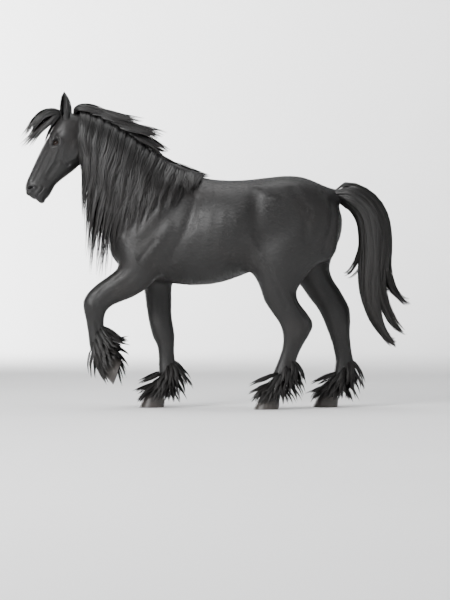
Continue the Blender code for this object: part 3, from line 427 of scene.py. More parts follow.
@dataclass
class Stations:
    """Sections of the flesh, each between two outline points seen from the side.

    A row is the front or top point x z, the back or bottom point x z, the middle's y and the half width in
    millimetres, how boxy the section is (2 is round), and how far the widest line lies towards the first
    point.
    """

    trunk: tuple = (
        (-752, 1200, -742, 1110, 0, 50, 2, 0), (-715, 1360, -700, 1010, 0, 160, 2.1, 0),
        (-610, 1480, -610, 950, 0, 215, 2.2, -0.05), (-460, 1560, -460, 900, 0, 236, 2.2, -0.08),
        (-320, 1598, -320, 865, 0, 250, 2, -0.12), (-180, 1602, -180, 853, 0, 275, 1.9, -0.12),
        (-40, 1588, -40, 860, 0, 300, 2, -0.08), (80, 1578, 80, 884, 0, 312, 2.1, -0.04),
        (200, 1580, 200, 926, 0, 308, 2.2, 0), (330, 1594, 330, 972, 0, 294, 2.3, 0.05),
        (460, 1610, 460, 1005, 0, 286, 2.15, 0.10), (570, 1612, 570, 1030, 0, 276, 2.1, 0.12),
        (680, 1578, 680, 1045, 0, 246, 2.05, 0.10), (780, 1515, 780, 1065, 0, 190, 2, 0.05),
        (845, 1430, 850, 1120, 0, 120, 2, 0), (880, 1320, 880, 1230, 0, 45, 2, 0),
    )
    neck: tuple = (
        (-100, 1570, -640, 1020, 0, 205, 2.1, -0.10), (-300, 1660, -735, 1160, 0, 190, 2, -0.12),
        (-455, 1775, -770, 1300, 0, 160, 1.95, -0.15), (-600, 1890, -805, 1430, 0, 135, 1.9, -0.18),
        (-745, 1985, -845, 1545, 0, 115, 1.9, -0.15), (-875, 2036, -890, 1650, 0, 102, 1.95, -0.10),
        (-975, 2045, -960, 1730, 0, 88, 2, 0),
    )
    fore_far: tuple = (
        (-600, 1300, -280, 1250, 155, 60, 2, 0), (-590, 1130, -300, 1100, 160, 85, 2, 0),
        (-548, 1000, -298, 990, 155, 88, 2.1, 0), (-514, 890, -305, 890, 145, 80, 2.1, 0.05),
        (-494, 790, -312, 790, 135, 68, 2.1, 0.05), (-474, 690, -316, 690, 128, 59, 2.1, 0),
        (-460, 610, -312, 610, 122, 57, 2.3, 0), (-446, 550, -300, 545, 118, 60, 2.4, 0),
        (-428, 485, -294, 485, 113, 52, 2.3, 0), (-398, 425, -296, 425, 110, 40, 2.2, 0),
        (-390, 340, -292, 340, 107, 37, 2.2, 0), (-388, 280, -280, 285, 104, 42, 2.2, 0),
        (-388, 225, -262, 235, 102, 48, 2.2, 0),
    )
    fore_near: tuple = (
        (-640, 1290, -300, 1200, -155, 60, 2, 0), (-655, 1090, -370, 980, -160, 88, 2, 0),
        (-640, 1000, -430, 860, -158, 86, 2.1, 0), (-705, 935, -530, 790, -152, 78, 2.1, 0.05),
        (-770, 880, -620, 755, -147, 68, 2.1, 0.05), (-830, 830, -695, 725, -143, 60, 2.1, 0),
        (-872, 785, -740, 695, -140, 58, 2.3, 0), (-898, 735, -764, 660, -138, 58, 2.4, 0),
        (-896, 680, -768, 640, -137, 54, 2.3, 0), (-880, 610, -774, 600, -136, 41, 2.2, 0),
        (-868, 530, -766, 525, -135, 37, 2.2, 0), (-860, 470, -748, 478, -134, 43, 2.2, 0),
        (-846, 405, -722, 442, -133, 48, 2.2, 0),
    )
    hind_near: tuple = (
        (420, 1480, 825, 1390, -150, 70, 2, 0), (330, 1280, 845, 1220, -168, 120, 2, 0),
        (250, 1080, 735, 1050, -178, 128, 2.1, 0.10), (250, 950, 615, 900, -177, 112, 2.1, 0.10),
        (300, 850, 548, 810, -172, 92, 2.1, 0.05), (345, 740, 562, 735, -168, 73, 2.1, 0),
        (400, 655, 612, 670, -165, 60, 2.1, 0), (448, 585, 660, 590, -162, 56, 2.3, 0),
        (470, 515, 640, 520, -160, 54, 2.3, 0), (468, 440, 600, 450, -158, 43, 2.2, 0),
        (446, 360, 562, 375, -156, 39, 2.2, 0), (420, 295, 544, 310, -154, 44, 2.2, 0),
        (398, 235, 540, 262, -153, 50, 2.2, 0),
    )
    hind_far: tuple = (
        (440, 1480, 820, 1380, 150, 70, 2, 0), (400, 1280, 862, 1240, 170, 120, 2, 0),
        (440, 1080, 826, 1080, 180, 128, 2.1, 0.10), (515, 950, 792, 985, 178, 108, 2.1, 0.10),
        (590, 860, 815, 900, 172, 86, 2.1, 0.05), (660, 770, 860, 820, 166, 68, 2.1, 0),
        (715, 700, 905, 745, 162, 59, 2.1, 0), (750, 640, 932, 680, 160, 56, 2.3, 0),
        (778, 570, 936, 590, 158, 53, 2.3, 0), (808, 490, 934, 500, 156, 43, 2.2, 0),
        (834, 400, 944, 400, 154, 39, 2.2, 0), (846, 320, 960, 320, 153, 44, 2.2, 0),
        (836, 250, 968, 262, 152, 50, 2.2, 0),
    )
    # Along the face line, top and bottom depth, half width, boxiness, widest line's lean to the forehead.
    head: tuple = (
        (-20, 50, 120, 50, 2, 0), (15, 12, 185, 80, 2.1, 0.05), (70, -4, 232, 98, 2.2, 0.12),
        (140, -6, 272, 108, 2.3, 0.22), (210, -4, 288, 112, 2.4, 0.28), (280, -8, 276, 103, 2.4, 0.26),
        (350, -7, 246, 87, 2.4, 0.22), (420, -4, 215, 73, 2.3, 0.15), (480, 0, 194, 64, 2.3, 0.08),
        (530, 3, 194, 60, 2.4, 0.02), (570, 9, 192, 64, 2.5, 0), (600, 21, 178, 63, 2.5, 0),
        (622, 42, 156, 52, 2.4, 0), (635, 72, 122, 30, 2.2, 0),
    )
    dock: tuple = (
        (640, 1560, 640, 1440, 0, 50, 2, 0), (740, 1552, 730, 1440, 0, 52, 2, 0),
        (810, 1532, 800, 1436, 0, 48, 2, 0), (880, 1522, 870, 1430, 0, 44, 2, 0),
        (985, 1480, 955, 1410, 0, 38, 2, 0), (1080, 1395, 1035, 1350, 0, 34, 2, 0),
        (1125, 1280, 1075, 1260, 0, 28, 2, 0), (1130, 1150, 1095, 1150, 0, 18, 2, 0),
    )
    growth: float = 0.012

    def metres(self, rows: tuple) -> Array:
        """A table's rows with all but their last two numbers turned from millimetres to metres."""
        rows = np.array(rows, float)
        rows[:, :-2] /= 1000
        return rows

    def leg(self, limb: Limb) -> Array:
        """The leg's stations, a little deeper than their outline, then its pastern and its hoof's top."""
        foot = FEET[limb]
        rows = self.metres(getattr(self, limb.value))
        coronet, under = foot.station(*foot.coronet), foot.station(*foot.under)
        middle = (rows[-1] + np.array(coronet)) / 2
        arm = unit(rows[:, 0:2] - rows[:, 2:4]) * self.growth
        rows[:, 0:2] += arm
        rows[:, 2:4] -= arm
        centre, arm = (middle[:2] + middle[2:4]) / 2, unit(middle[:2] - middle[2:4]) * 0.048
        pastern = [*(centre + arm), *(centre - arm), middle[4], 0.042, 2.2, 0.0]
        return np.vstack([rows, pastern, coronet, under])

    def head_rows(self) -> Array:
        """The head's stations as the rest are given."""
        rows = self.metres(self.head)
        top, low = HEAD_AXES.at(rows[:, 0], rows[:, 1]), HEAD_AXES.at(rows[:, 0], rows[:, 2])
        zero = np.zeros(len(rows))
        return np.stack([top[:, 0], top[:, 2], low[:, 0], low[:, 2], zero, *rows[:, 3:].T], 1)


STATIONS = Stations()


@dataclass
class Muscles:
    """Bulges under the skin: centre, the long axis in side view, and the halves along, across, sideways."""

    body: tuple = (
        ((-0.450, 0.150, 1.330), (-0.70, -0.72), (0.300, 0.125, 0.085)),
        ((-0.405, 0.175, 1.130), (-0.50, -0.87), (0.175, 0.125, 0.078)),
        ((-0.640, 0.085, 1.130), (-0.30, -0.95), (0.140, 0.090, 0.085)),
        ((-0.690, 0.090, 1.420), (-0.55, 0.83), (0.300, 0.085, 0.050)),
        ((0.520, 0.135, 1.420), (0.96, -0.20), (0.250, 0.165, 0.125)),
        ((0.680, 0.155, 1.240), (0.35, -0.93), (0.270, 0.155, 0.105)),
        ((0.330, 0.195, 1.465), (0.85, -0.52), (0.110, 0.075, 0.065)),
        ((-0.150, 0.020, 1.555), (0.99, -0.10), (0.170, 0.055, 0.060)),
    )
    # On the head: along and deep, y; the axis along and deep; the halves.
    head: tuple = (
        ((0.190, 0.185, 0.066), (0.85, 0.53), (0.105, 0.080, 0.040)),
        ((0.205, 0.050, 0.088), (0.97, 0.24), (0.055, 0.034, 0.030)),
        ((0.330, 0.112, 0.072), (0.98, -0.20), (0.080, 0.014, 0.015)),
        ((0.596, 0.070, 0.042), (0.80, -0.60), (0.042, 0.030, 0.026)),
        ((0.608, 0.150, 0.018), (0.60, 0.80), (0.036, 0.030, 0.036)),
    )

    def bulges(self) -> list[tuple[Array, Array, tuple]]:
        """Every bulge on both sides: its centre, the way its long axis runs, and its halves."""
        found = []
        for side in Side:
            flip = np.array([1, side.value, 1])
            for centre, (x, z), halves in self.body:
                found.append((np.array(centre) * flip, np.array([x, 0, z]), halves))
            for (along, deep, y), (ahead, down), halves in self.head:
                run = HEAD_AXES.down * ahead + HEAD_AXES.back * down
                found.append((HEAD_AXES.at(along, deep, y * side.value), run, halves))
        return found


@dataclass
class Stroke:
    """A groove or ridge along a line in side view.

    Attributes:
        line: Points x z of the line, or along and deep on the head.
        wide: How far it reaches to each side.
        rise: How far it stands out, or in where negative.
        sides: The sides that have it.
        on_head: Whether the line is in the head's own axes.
    """

    line: tuple
    wide: float
    rise: float
    sides: tuple = (-1, 1)
    on_head: bool = False

    def lift(self, points: Array, normals: Array) -> Array:
        """How far the stroke moves each point out: most on the line, falling off as a bell."""
        line = np.array(self.line, float)
        if self.on_head:
            line = HEAD_AXES.at(line[:, 0], line[:, 1])[:, [0, 2]]
        flat = points[:, [0, 2]]
        near = np.full(len(points), 1e9)
        for a, b in zip(line[:-1], line[1:]):
            run = b - a
            t = np.clip((flat - a) @ run / (run @ run), 0, 1)
            near = np.minimum(near, np.linalg.norm(flat - a - t[:, None] * run, axis=1))
        facing = smooth(0.15, 0.55, np.abs(normals[:, 1]))
        own = sum((np.sign(points[:, 1]) == side) & (normals[:, 1] * side > 0) for side in self.sides)
        return self.rise * np.exp(-((near / self.wide) ** 2) * 2) * facing * own


@dataclass
class Flesh:
    """The horse's body as one skin, from sections and bulges, with the grooves between its muscles."""

    voxel: float = 0.0152
    head_scale: float = 2.7
    head_reach: float = 0.36
    coat_depth: float = 0.003
    # Where the faces are quartered: along, deep and y on the head, and the reach.
    fine: tuple = ((0.60, 0.10, 0.0, 0.115), (0.222, 0.07, -0.10, 0.052), (0.222, 0.07, 0.10, 0.052))
    junctions: tuple = (
        ((-0.44, 1.00), 0.30), ((-0.66, 1.08), 0.26), ((-0.30, 1.55), 0.25), ((-0.48, 1.35), 0.36),
        ((0.30, 1.05), 0.30), ((0.66, 1.10), 0.34), ((0.55, 1.40), 0.36), ((-0.90, 1.72), 0.12),
        ((-0.92, 2.02), 0.14), ((0.80, 1.46), 0.12),
    )
    strokes: tuple = (
        Stroke(((-0.30, 1.52), (-0.45, 1.37), (-0.62, 1.20)), 0.040, -0.007),
        Stroke(((-0.24, 1.48), (-0.40, 1.33), (-0.52, 1.19)), 0.042, 0.005),
        Stroke(((-0.13, 1.44), (-0.20, 1.22), (-0.30, 1.04)), 0.050, -0.011),
        Stroke(((-0.32, 1.24), (-0.46, 1.06)), 0.050, 0.007),
        Stroke(((-0.40, 1.16), (-0.52, 1.02)), 0.018, -0.006),
        Stroke(((-0.90, 1.70), (-0.82, 1.52), (-0.73, 1.32)), 0.022, -0.008),
        Stroke(((-0.60, 1.62), (-0.66, 1.45), (-0.70, 1.28)), 0.040, 0.006),
        Stroke(((0.27, 1.42), (0.27, 1.26)), 0.070, -0.012),
        Stroke(((0.24, 1.16), (0.31, 1.04)), 0.035, 0.008),
        Stroke(((0.80, 1.44), (0.79, 1.26), (0.74, 1.08)), 0.022, -0.008),
        Stroke(((0.52, 1.50), (0.64, 1.36), (0.60, 1.16)), 0.034, -0.006),
        Stroke(((0.34, 1.47), (0.40, 1.44)), 0.035, 0.006),
        *(
            Stroke(((-0.03 + 0.085 * k, 1.34), (-0.07 + 0.085 * k, 1.04)), 0.026, 0.0014)
            for k in range(4)
        ),
        # Forearm and gaskin: the lines between the muscles, then the hollows before the hock's cord.
        Stroke(((-0.50, 0.98), (-0.43, 0.84), (-0.41, 0.70)), 0.012, -0.005, (1,)),
        Stroke(((-0.44, 0.95), (-0.37, 0.82), (-0.365, 0.66)), 0.012, -0.004, (1,)),
        Stroke(((-0.60, 0.97), (-0.71, 0.88), (-0.81, 0.78)), 0.012, -0.005, (-1,)),
        Stroke(((-0.55, 0.92), (-0.66, 0.83), (-0.78, 0.73)), 0.012, -0.004, (-1,)),
        Stroke(((0.36, 0.98), (0.42, 0.84), (0.49, 0.70)), 0.014, -0.006, (-1,)),
        Stroke(((0.53, 0.80), (0.57, 0.72), (0.61, 0.65)), 0.014, -0.010, (-1,)),
        Stroke(((0.58, 1.00), (0.66, 0.88), (0.74, 0.77)), 0.014, -0.006, (1,)),
        Stroke(((0.79, 0.87), (0.83, 0.79), (0.88, 0.73)), 0.014, -0.010, (1,)),
        # Cannons: the groove between the bone and the tendons behind it.
        Stroke(((-0.345, 0.47), (-0.325, 0.40), (-0.320, 0.28)), 0.010, -0.006, (1,)),
        Stroke(((-0.815, 0.60), (-0.800, 0.54), (-0.785, 0.46)), 0.010, -0.006, (-1,)),
        Stroke(((0.555, 0.45), (0.520, 0.38), (0.495, 0.30)), 0.010, -0.006, (-1,)),
        Stroke(((0.895, 0.50), (0.905, 0.40), (0.920, 0.31)), 0.010, -0.006, (1,)),
        # Knees and hocks: the bones that show at the side, the point of the hock.
        Stroke(((-0.385, 0.560), (-0.380, 0.530)), 0.022, 0.006, (1,)),
        Stroke(((-0.845, 0.715), (-0.835, 0.690)), 0.022, 0.006, (-1,)),
        Stroke(((0.585, 0.545), (0.570, 0.500)), 0.024, 0.006, (-1,)),
        Stroke(((0.865, 0.610), (0.870, 0.550)), 0.024, 0.006, (1,)),
        # The head: cheek's edge, the ridge before the eye, the hollow over it, the jaw and the nose.
        *(
            Stroke(line, wide, rise, on_head=True)
            for line, wide, rise in (
                (((0.10, 0.19), (0.16, 0.235), (0.25, 0.235), (0.31, 0.19)), 0.016, 0.004),
                (((0.32, 0.17), (0.31, 0.215)), 0.020, -0.006),
                (((0.26, 0.105), (0.34, 0.115), (0.43, 0.105)), 0.010, 0.005),
                (((0.34, 0.145), (0.46, 0.125)), 0.022, -0.006),
                (((0.140, 0.066), (0.165, 0.062)), 0.028, -0.004),
                (((0.185, 0.040), (0.235, 0.038)), 0.016, 0.003),
                (((0.30, 0.035), (0.42, 0.035), (0.52, 0.040)), 0.018, -0.005),
                (((0.30, 0.075), (0.40, 0.085), (0.50, 0.080)), 0.006, 0.0018),
                (((0.24, 0.140), (0.30, 0.165), (0.36, 0.160)), 0.005, 0.0016),
            )
        ),
    )
    shape: Any = None

    def warp(self, points: Array, back: bool = False) -> Array:
        """Spreads space round the head, so that even cells are finer there, or undoes it.

        A point at distance r from the head's middle goes to r times the scale up to the reach, and beyond
        it keeps its distance plus what the reach gained.
        """
        centre = HEAD_AXES.at(0.38, 0.10)
        away = points - centre
        far = np.linalg.norm(away, axis=1)
        gain = self.head_reach * (self.head_scale - 1)
        if back:
            new = np.where(far < self.head_reach * self.head_scale, far / self.head_scale, far - gain)
        else:
            new = np.where(far < self.head_reach, far * self.head_scale, far + gain)
        return centre + away * (new / np.maximum(far, 1e-9))[:, None]

    def section_tube(self, rows: Array, sides: int = 56) -> tuple[Array, list[list[int]]]:
        """A tube whose rings are superellipses between the stations' two outline points."""
        x0, z0, x1, z1, y, half, power, skew = flowing(rows, 7).T
        angle = np.arange(sides) * 2 * math.pi / sides
        cosine, sine = np.cos(angle)[None], np.sin(angle)[None]
        along, across = powered(cosine, 2 / power[:, None]), powered(sine, 2 / power[:, None])
        along = along + skew[:, None] * (1 - along**2)
        ring = np.stack(
            [
                ((x0 + x1) / 2)[:, None] + along * ((x0 - x1) / 2)[:, None],
                y[:, None] + across * half[:, None],
                ((z0 + z1) / 2)[:, None] + along * ((z0 - z1) / 2)[:, None],
            ],
            -1,
        )
        return closed_tube(ring)

    def bulge(self, centre: Array, run: Array, halves: tuple) -> tuple[Array, list[list[int]]]:
        """A ball stretched along its run: latitude rings by longitude."""
        run = unit(run)
        across = np.cross(SIDEWAYS, run)
        tilt, turn = np.meshgrid(np.linspace(0.05, math.pi - 0.05, 16), np.arange(32) * math.pi / 16)
        tilt, turn = tilt.T[..., None], turn.T[..., None]
        out = np.cos(tilt) * run * halves[0]
        out = out + np.sin(tilt) * (np.cos(turn) * across * halves[1] + np.sin(turn) * SIDEWAYS * halves[2])
        return closed_tube(centre + out)

    def build(self) -> Piece:
        """Fuses the parts to one skin, fills the creases at its junctions and cuts its grooves.

        Returns:
            The skin's object.
        """
        body = (STATIONS.trunk, STATIONS.neck, STATIONS.dock)
        parts = [self.section_tube(STATIONS.metres(rows)) for rows in body]
        parts += [self.section_tube(STATIONS.head_rows())]
        parts += [self.section_tube(STATIONS.leg(limb)) for limb in Limb]
        parts += [self.bulge(*bulge) for bulge in Muscles().bulges()]
        points, faces, start = [], [], 0
        for own, own_faces in parts:
            points.append(own)
            faces += [[start + i for i in face] for face in own_faces]
            start += len(own)
        skin = made_piece("skin", self.warp(np.vstack(points)), faces)
        remesh = skin.modifiers.new("fuse", "REMESH")
        remesh.mode = "VOXEL"
        remesh.voxel_size = self.voxel
        apply_modifiers(skin)
        mesh = skin.data
        points = self.warp(points_of(mesh), back=True)
        points = self.softened(points, edges_of(mesh))
        set_points(mesh, points)
        self.refine(skin)
        mesh = skin.data
        points, normals = points_of(mesh), normals_of(mesh)
        lift = sum(stroke.lift(points, normals) for stroke in self.strokes)
        points = points + normals * lift[:, None]
        along, _ = HEAD_AXES.read(points)
        on_head = smooth(0.0, 0.15, along) * smooth(1.45, 1.55, points[:, 2])
        depth = self.coat_depth * (1 - 0.6 * on_head)
        points = points - normals * depth[:, None]
        points = Muzzle().carved(points, normals)
        points = relaxed(points, edges_of(mesh), np.full(len(points), 0.3), 2)
        set_points(mesh, points + SHIFT)
        mesh.shade_smooth()
        self.shape = skin
        return skin

    def softened(self, points: Array, edges: Array) -> Array:
        """The skin with its creases filled out where limbs, neck and trunk join."""
        share = np.full(len(points), 0.06)
        for (x, z), reach in self.junctions:
            near = 1 - np.hypot(points[:, 0] - x, points[:, 2] - z) / reach
            share = np.maximum(share, np.minimum(1.0, 2 * near))
        return relaxed(points, edges, share * 0.6, 78)

    def refine(self, skin: Piece) -> None:
        """Quarters the skin's faces round the muzzle and the eyes, where the finest forms are."""
        made = bmesh.new()
        made.from_mesh(skin.data)
        spots = [(Vector(HEAD_AXES.at(*place)), reach) for *place, reach in self.fine]
        chosen = [
            edge
            for edge in made.edges
            if any((edge.verts[0].co - spot).length < reach for spot, reach in spots)
        ]
        bmesh.ops.subdivide_edges(made, edges=chosen, cuts=1, use_grid_fill=True)
        made.to_mesh(skin.data)
        made.free()

    def moved(self, points: Array, gap: float, mode: str) -> Array:
        """Points set against the skin by a Shrinkwrap.

        Args:
            points: Any array of points, 3 numbers last.
            gap: How far off the skin.
            mode: ON_SURFACE sets all at the gap, OUTSIDE only those that are nearer or inside.

        Returns:
            The points, in the same shape.
        """
        mesh = bpy.data.meshes.new("spots")
        mesh.vertices.add(points.size // 3)
        mesh.vertices.foreach_set("co", points.astype(np.float32).ravel())
        cloud = put("spots", mesh)
        wrap = cloud.modifiers.new("wrap", "SHRINKWRAP")
        wrap.target = self.shape
        wrap.wrap_method = "NEAREST_SURFACEPOINT"
        wrap.wrap_mode = mode
        wrap.offset = gap
        apply_modifiers(cloud)
        found = points_of(cloud.data).reshape(points.shape)
        bpy.data.objects.remove(cloud)
        return found

    def way_out(self, points: Array) -> Array:
        """The way out of the skin at its spot nearest to each point."""
        return unit(self.moved(points, 0.02, "ON_SURFACE") - self.moved(points, 0.0, "ON_SURFACE"))


@dataclass
class Muzzle:
    """Nostrils, lips, the line of the mouth, the chin and the sockets of the eyes, carved in the skin."""

    # The nostril's middle, along and deep, and its halves.
    nostril: tuple[float, float] = (0.574, 0.055)
    nostril_long: float = 0.024
    nostril_wide: float = 0.0105

    def carved(self, points: Array, normals: Array) -> Array:
        """The skin's points with the nostrils, mouth and eye sockets carved.

        Args:
            points: The skin's points.
            normals: The ways out at them.

        Returns:
            The moved points.
        """
        along, deep = HEAD_AXES.read(points)
        y = points[:, 1]
        out = np.zeros(len(points))
        a, b = self.nostril
        long, wide = (along - a) * 0.66 - (deep - b) * 0.75, (along - a) * 0.75 + (deep - b) * 0.66
        wide = wide - 6.0 * long**2
        ring = np.hypot(long / self.nostril_long, wide / self.nostril_wide)
        here = smooth(0.018, 0.030, np.abs(y)) * (along > 0.52)
        out += -0.022 * smooth(1.0, 0.35, ring) * here
        out += 0.0036 * np.exp(-(((ring - 1.30) / 0.34) ** 2)) * here
        line = self.mouth_depth(along)
        off = deep - line
        near = smooth(0.520, 0.545, along) * (along < 0.70)
        out += -0.0060 * np.exp(-((off / 0.0032) ** 2)) * near
        out += 0.0022 * np.exp(-(((off + 0.016) / 0.012) ** 2)) * near
        out += 0.0022 * np.exp(-(((off - 0.016) / 0.012) ** 2)) * near
        middle = np.exp(-((y / 0.010) ** 2)) * (along > 0.60) * (off < 0)
        out += -0.0025 * middle
        crease = np.exp(-(((along - 0.528) / 0.008) ** 2)) * np.exp(-((off / 0.014) ** 2))
        out += -0.0030 * crease * (np.abs(y) > 0.02)
        ea, ed, _ = HEAD_AXES.eye
        long, tall = (along - ea) * 0.94 - (deep - ed) * 0.34, (deep - ed) * 0.94 + (along - ea) * 0.34
        ring = np.hypot(long / 0.0255, tall / 0.0175)
        side = smooth(0.05, 0.07, np.abs(y))
        out += -0.020 * smooth(1.25, 0.75, ring) * side
        out += 0.0030 * np.exp(-(((ring - 1.9) / 0.45) ** 2)) * side
        return points + normals * out[:, None]

    def mouth_depth(self, along: Array) -> Array:
        """How deep behind the face line the lips meet: it rises a little towards the corner."""
        return 0.136 - 0.018 * smooth(0.53, 0.64, along)

    def bare(self, points: Array) -> Array:
        """How bare of coat the skin is, from 0 to 1: round the nostrils and on the lips."""
        along, deep = HEAD_AXES.read(points)
        a, b = self.nostril
        nostril = np.exp(-((np.hypot(along - a, deep - b) / 0.034) ** 2) * 1.5)
        lips = np.exp(-(((deep - self.mouth_depth(along)) / 0.020) ** 2)) * smooth(0.55, 0.60, along)
        return np.clip(nostril + lips, 0, 1) * smooth(0.50, 0.56, along) * (points[:, 2] < 1.75)


# Finishes


@dataclass(frozen=True)
class HorseCoat:
    """Short horse coat, grown: flat glossy hairs 12 mm long that lie along the body. Near black, it gives a
    satin light along the muscles and fine streaks close to."""

    name: str = "black horse coat"
    colour: str = "171616"
    worn: str = "1f1a18"
    bare_colour: str = "1b1a1b"
    roughness: float = 0.42
    # One hair's width, and the repeats a metre of the faded patches and of the bare skin's pores.
    hair: float = 0.0022
    patches: float = 3.2
    pores: float = 420.0
    # The coat's lie in degrees: on the trunk, then on the head, the neck and the legs.
    lies: tuple[int, ...] = (16, 118, 38, 90)

    def streaks(self, tree: Tree, where: Any, degrees: float) -> Any:
        """Fine streaks that run along one lie of the coat: noise 14 times longer than wide."""
        turn = {"Rotation": (0, math.radians(degrees), 0), "Scale": (14.0, 1.0, 1.0)}
        return noise(tree, mapped(tree, where, turn, "TEXTURE"), 1 / self.hair / 2, 2.0, 0.6)

    def material(self) -> Material:
        """The skin's material, whose streaks follow the lie of the coat on head, neck, trunk and legs."""
        made, tree, shader = new_material(self.name)
        where = add_node(tree, "ShaderNodeTexCoord", {}).outputs["Object"]
        lie = add_node(tree, "ShaderNodeAttribute", {}, attribute_name="lie").outputs["Color"]
        bare = add_node(tree, "ShaderNodeAttribute", {}, attribute_name="bare").outputs["Fac"]
        parts = add_node(tree, "ShaderNodeSeparateColor", {"Color": lie}).outputs
        streak = self.streaks(tree, where, self.lies[0])
        for part, degrees in zip(parts, self.lies[1:]):
            own = self.streaks(tree, where, degrees)
            streak = mixed(tree, part, streak, own, data_type="FLOAT")
        faded = ranged(tree, noise(tree, where, self.patches, 3.0), 0.52, 0.75, 0.0, 0.55)
        ground = mixed(tree, faded, linear(self.colour), linear(self.worn))
        shade = ranged(tree, streak, 0.3, 0.7, 0.72, 1.22)
        hairy = mixed(tree, 1.0, ground, shade, blend_type="MULTIPLY")
        grain = mixed(tree, bare, streak, noise(tree, where, self.pores, 2.0), data_type="FLOAT")
        inputs = {
            "Base Color": mixed(tree, bare, hairy, linear(self.bare_colour)),
            "Roughness": ranged(tree, streak, 0.3, 0.7, self.roughness - 0.08, self.roughness + 0.10),
            "Normal": bumped(tree, grain, 0.55, 0.0016),
            "Specular IOR Level": 0.38,
            "Sheen Weight": 0.03,
            "Sheen Roughness": 0.5,
        }
        fill(tree, shader, inputs)
        return made


@dataclass(frozen=True)
class LongHair:
    """Long coarse horse hair, grown: round strands in locks, jet black, with a soft gloss along each."""

    name: str
    colour: str
    tip: str
    roughness: float

    def material(self) -> Material:
        """Hair whose tone differs from strand to strand and fades a little towards the tips."""
        made, tree, shader = new_material(self.name)
        shade = add_node(tree, "ShaderNodeAttribute", {}, attribute_name="shade").outputs["Fac"]
        along = mapped(tree, read_map(tree, "OFBake"), {"Scale": (2000.0, 260.0, 1.0)})
        fine = noise(tree, along, 1.0, 1.0)
        inputs = {
            "Base Color": mixed(tree, shade, linear(self.colour), linear(self.tip)),
            "Roughness": ranged(tree, fine, 0.3, 0.7, self.roughness - 0.06, self.roughness + 0.08),
            "Normal": bumped(tree, fine, 0.5, 0.0007),
            "Specular IOR Level": 0.42,
        }
        fill(tree, shader, inputs)
        return made


@dataclass(frozen=True)
class HoofHorn:
    """Slate-dark hoof horn, grown: fine tubules run down the wall and faint rings run round it."""

    name: str = "dark hoof horn"
    colour: str = "2b2826"
    pale: str = "4a4440"
    # The height of the wall, and of one growth ring on it.
    wall: float = 0.10
    ring: float = 0.009

    def material(self) -> Material:
        """Horn read along the hoof's own UV: V runs down the wall, U round it."""
        made, tree, shader = new_material(self.name)
        flat = read_map(tree, "Wall")
        rings = noise(tree, mapped(tree, flat, {"Scale": (1.2, self.wall / self.ring, 1.0)}), 1.0, 3.0)
        tubules = noise(tree, mapped(tree, flat, {"Scale": (160.0, 3.0, 1.0)}), 1.0, 2.0)
        relief = mixed(tree, 0.4, rings, tubules, data_type="FLOAT")
        tone = ranged(tree, relief, 0.35, 0.75)
        inputs = {
            "Base Color": mixed(tree, tone, linear(self.colour), linear(self.pale)),
            "Roughness": 0.42,
            "Normal": bumped(tree, relief, 0.6, 0.0018),
        }
        fill(tree, shader, inputs)
        return made


@dataclass(frozen=True)
class WetEye:
    """A horse's eye: a dark brown iris with a wide black pupil under a wet, clear cornea."""

    name: str = "wet eye"
    iris: str = "2e1a0d"
    rim: str = "0b0807"
    pupil: str = "020202"

    def material(self) -> Material:
        """The eye's UV is flat across its front: the pupil is a wide ellipse at its middle."""
        made, tree, shader = new_material(self.name)
        centred = mapped(tree, read_map(tree, "Front"), {"Location": (-0.5, -0.5, 0)})
        oval, circle = (
            add_node(tree, "ShaderNodeVectorMath", {0: spread}, operation="LENGTH").outputs["Value"]
            for spread in (
                mapped(tree, centred, {"Scale": (4.4, 8.4, 0)}),
                mapped(tree, centred, {"Scale": (2.6, 2.6, 0)}),
            )
        )
        iris = mixed(tree, noise(tree, centred, 26.0, 4.0), linear(self.iris), linear(self.rim))
        ringed = mixed(tree, ranged(tree, circle, 0.80, 0.95), iris, linear(self.rim))
        inputs = {
            "Base Color": mixed(tree, ranged(tree, oval, 1.08, 0.92), ringed, linear(self.pupil)),
            "Roughness": 0.05,
            "IOR": 1.336,
        }
        fill(tree, shader, inputs)
        return made


@dataclass(frozen=True)
class StudioPaper:
    """Matt off-white studio paper, coated: it takes soft shadows and gives no gloss."""

    name: str = "matt studio paper"
    colour: str = "f6f6f6"
    shaded: str = "f1f1f1"

    def material(self) -> Material:
        """Plain paper with a faint unevenness in its tone."""
        made, tree, shader = new_material(self.name)
        where = add_node(tree, "ShaderNodeTexCoord", {}).outputs["Object"]
        tone = mixed(tree, noise(tree, where, 0.7, 2.0), linear(self.colour), linear(self.shaded))
        fill(tree, shader, {"Base Color": tone, "Roughness": 0.9, "Specular IOR Level": 0.2})
        return made


SKIN_COAT = HorseCoat()
MANE_HAIR = LongHair("black mane hair", "0d0d0d", "1e1b1a", 0.38)
TAIL_HAIR = LongHair("black tail hair", "0d0d0d", "1f1c1a", 0.40)
FEATHER_HAIR = LongHair("black feather hair", "100f0f", "221f1d", 0.45)
BODY_HAIR = LongHair("black body hair", "161515", "1b1918", 0.43)


# Hair


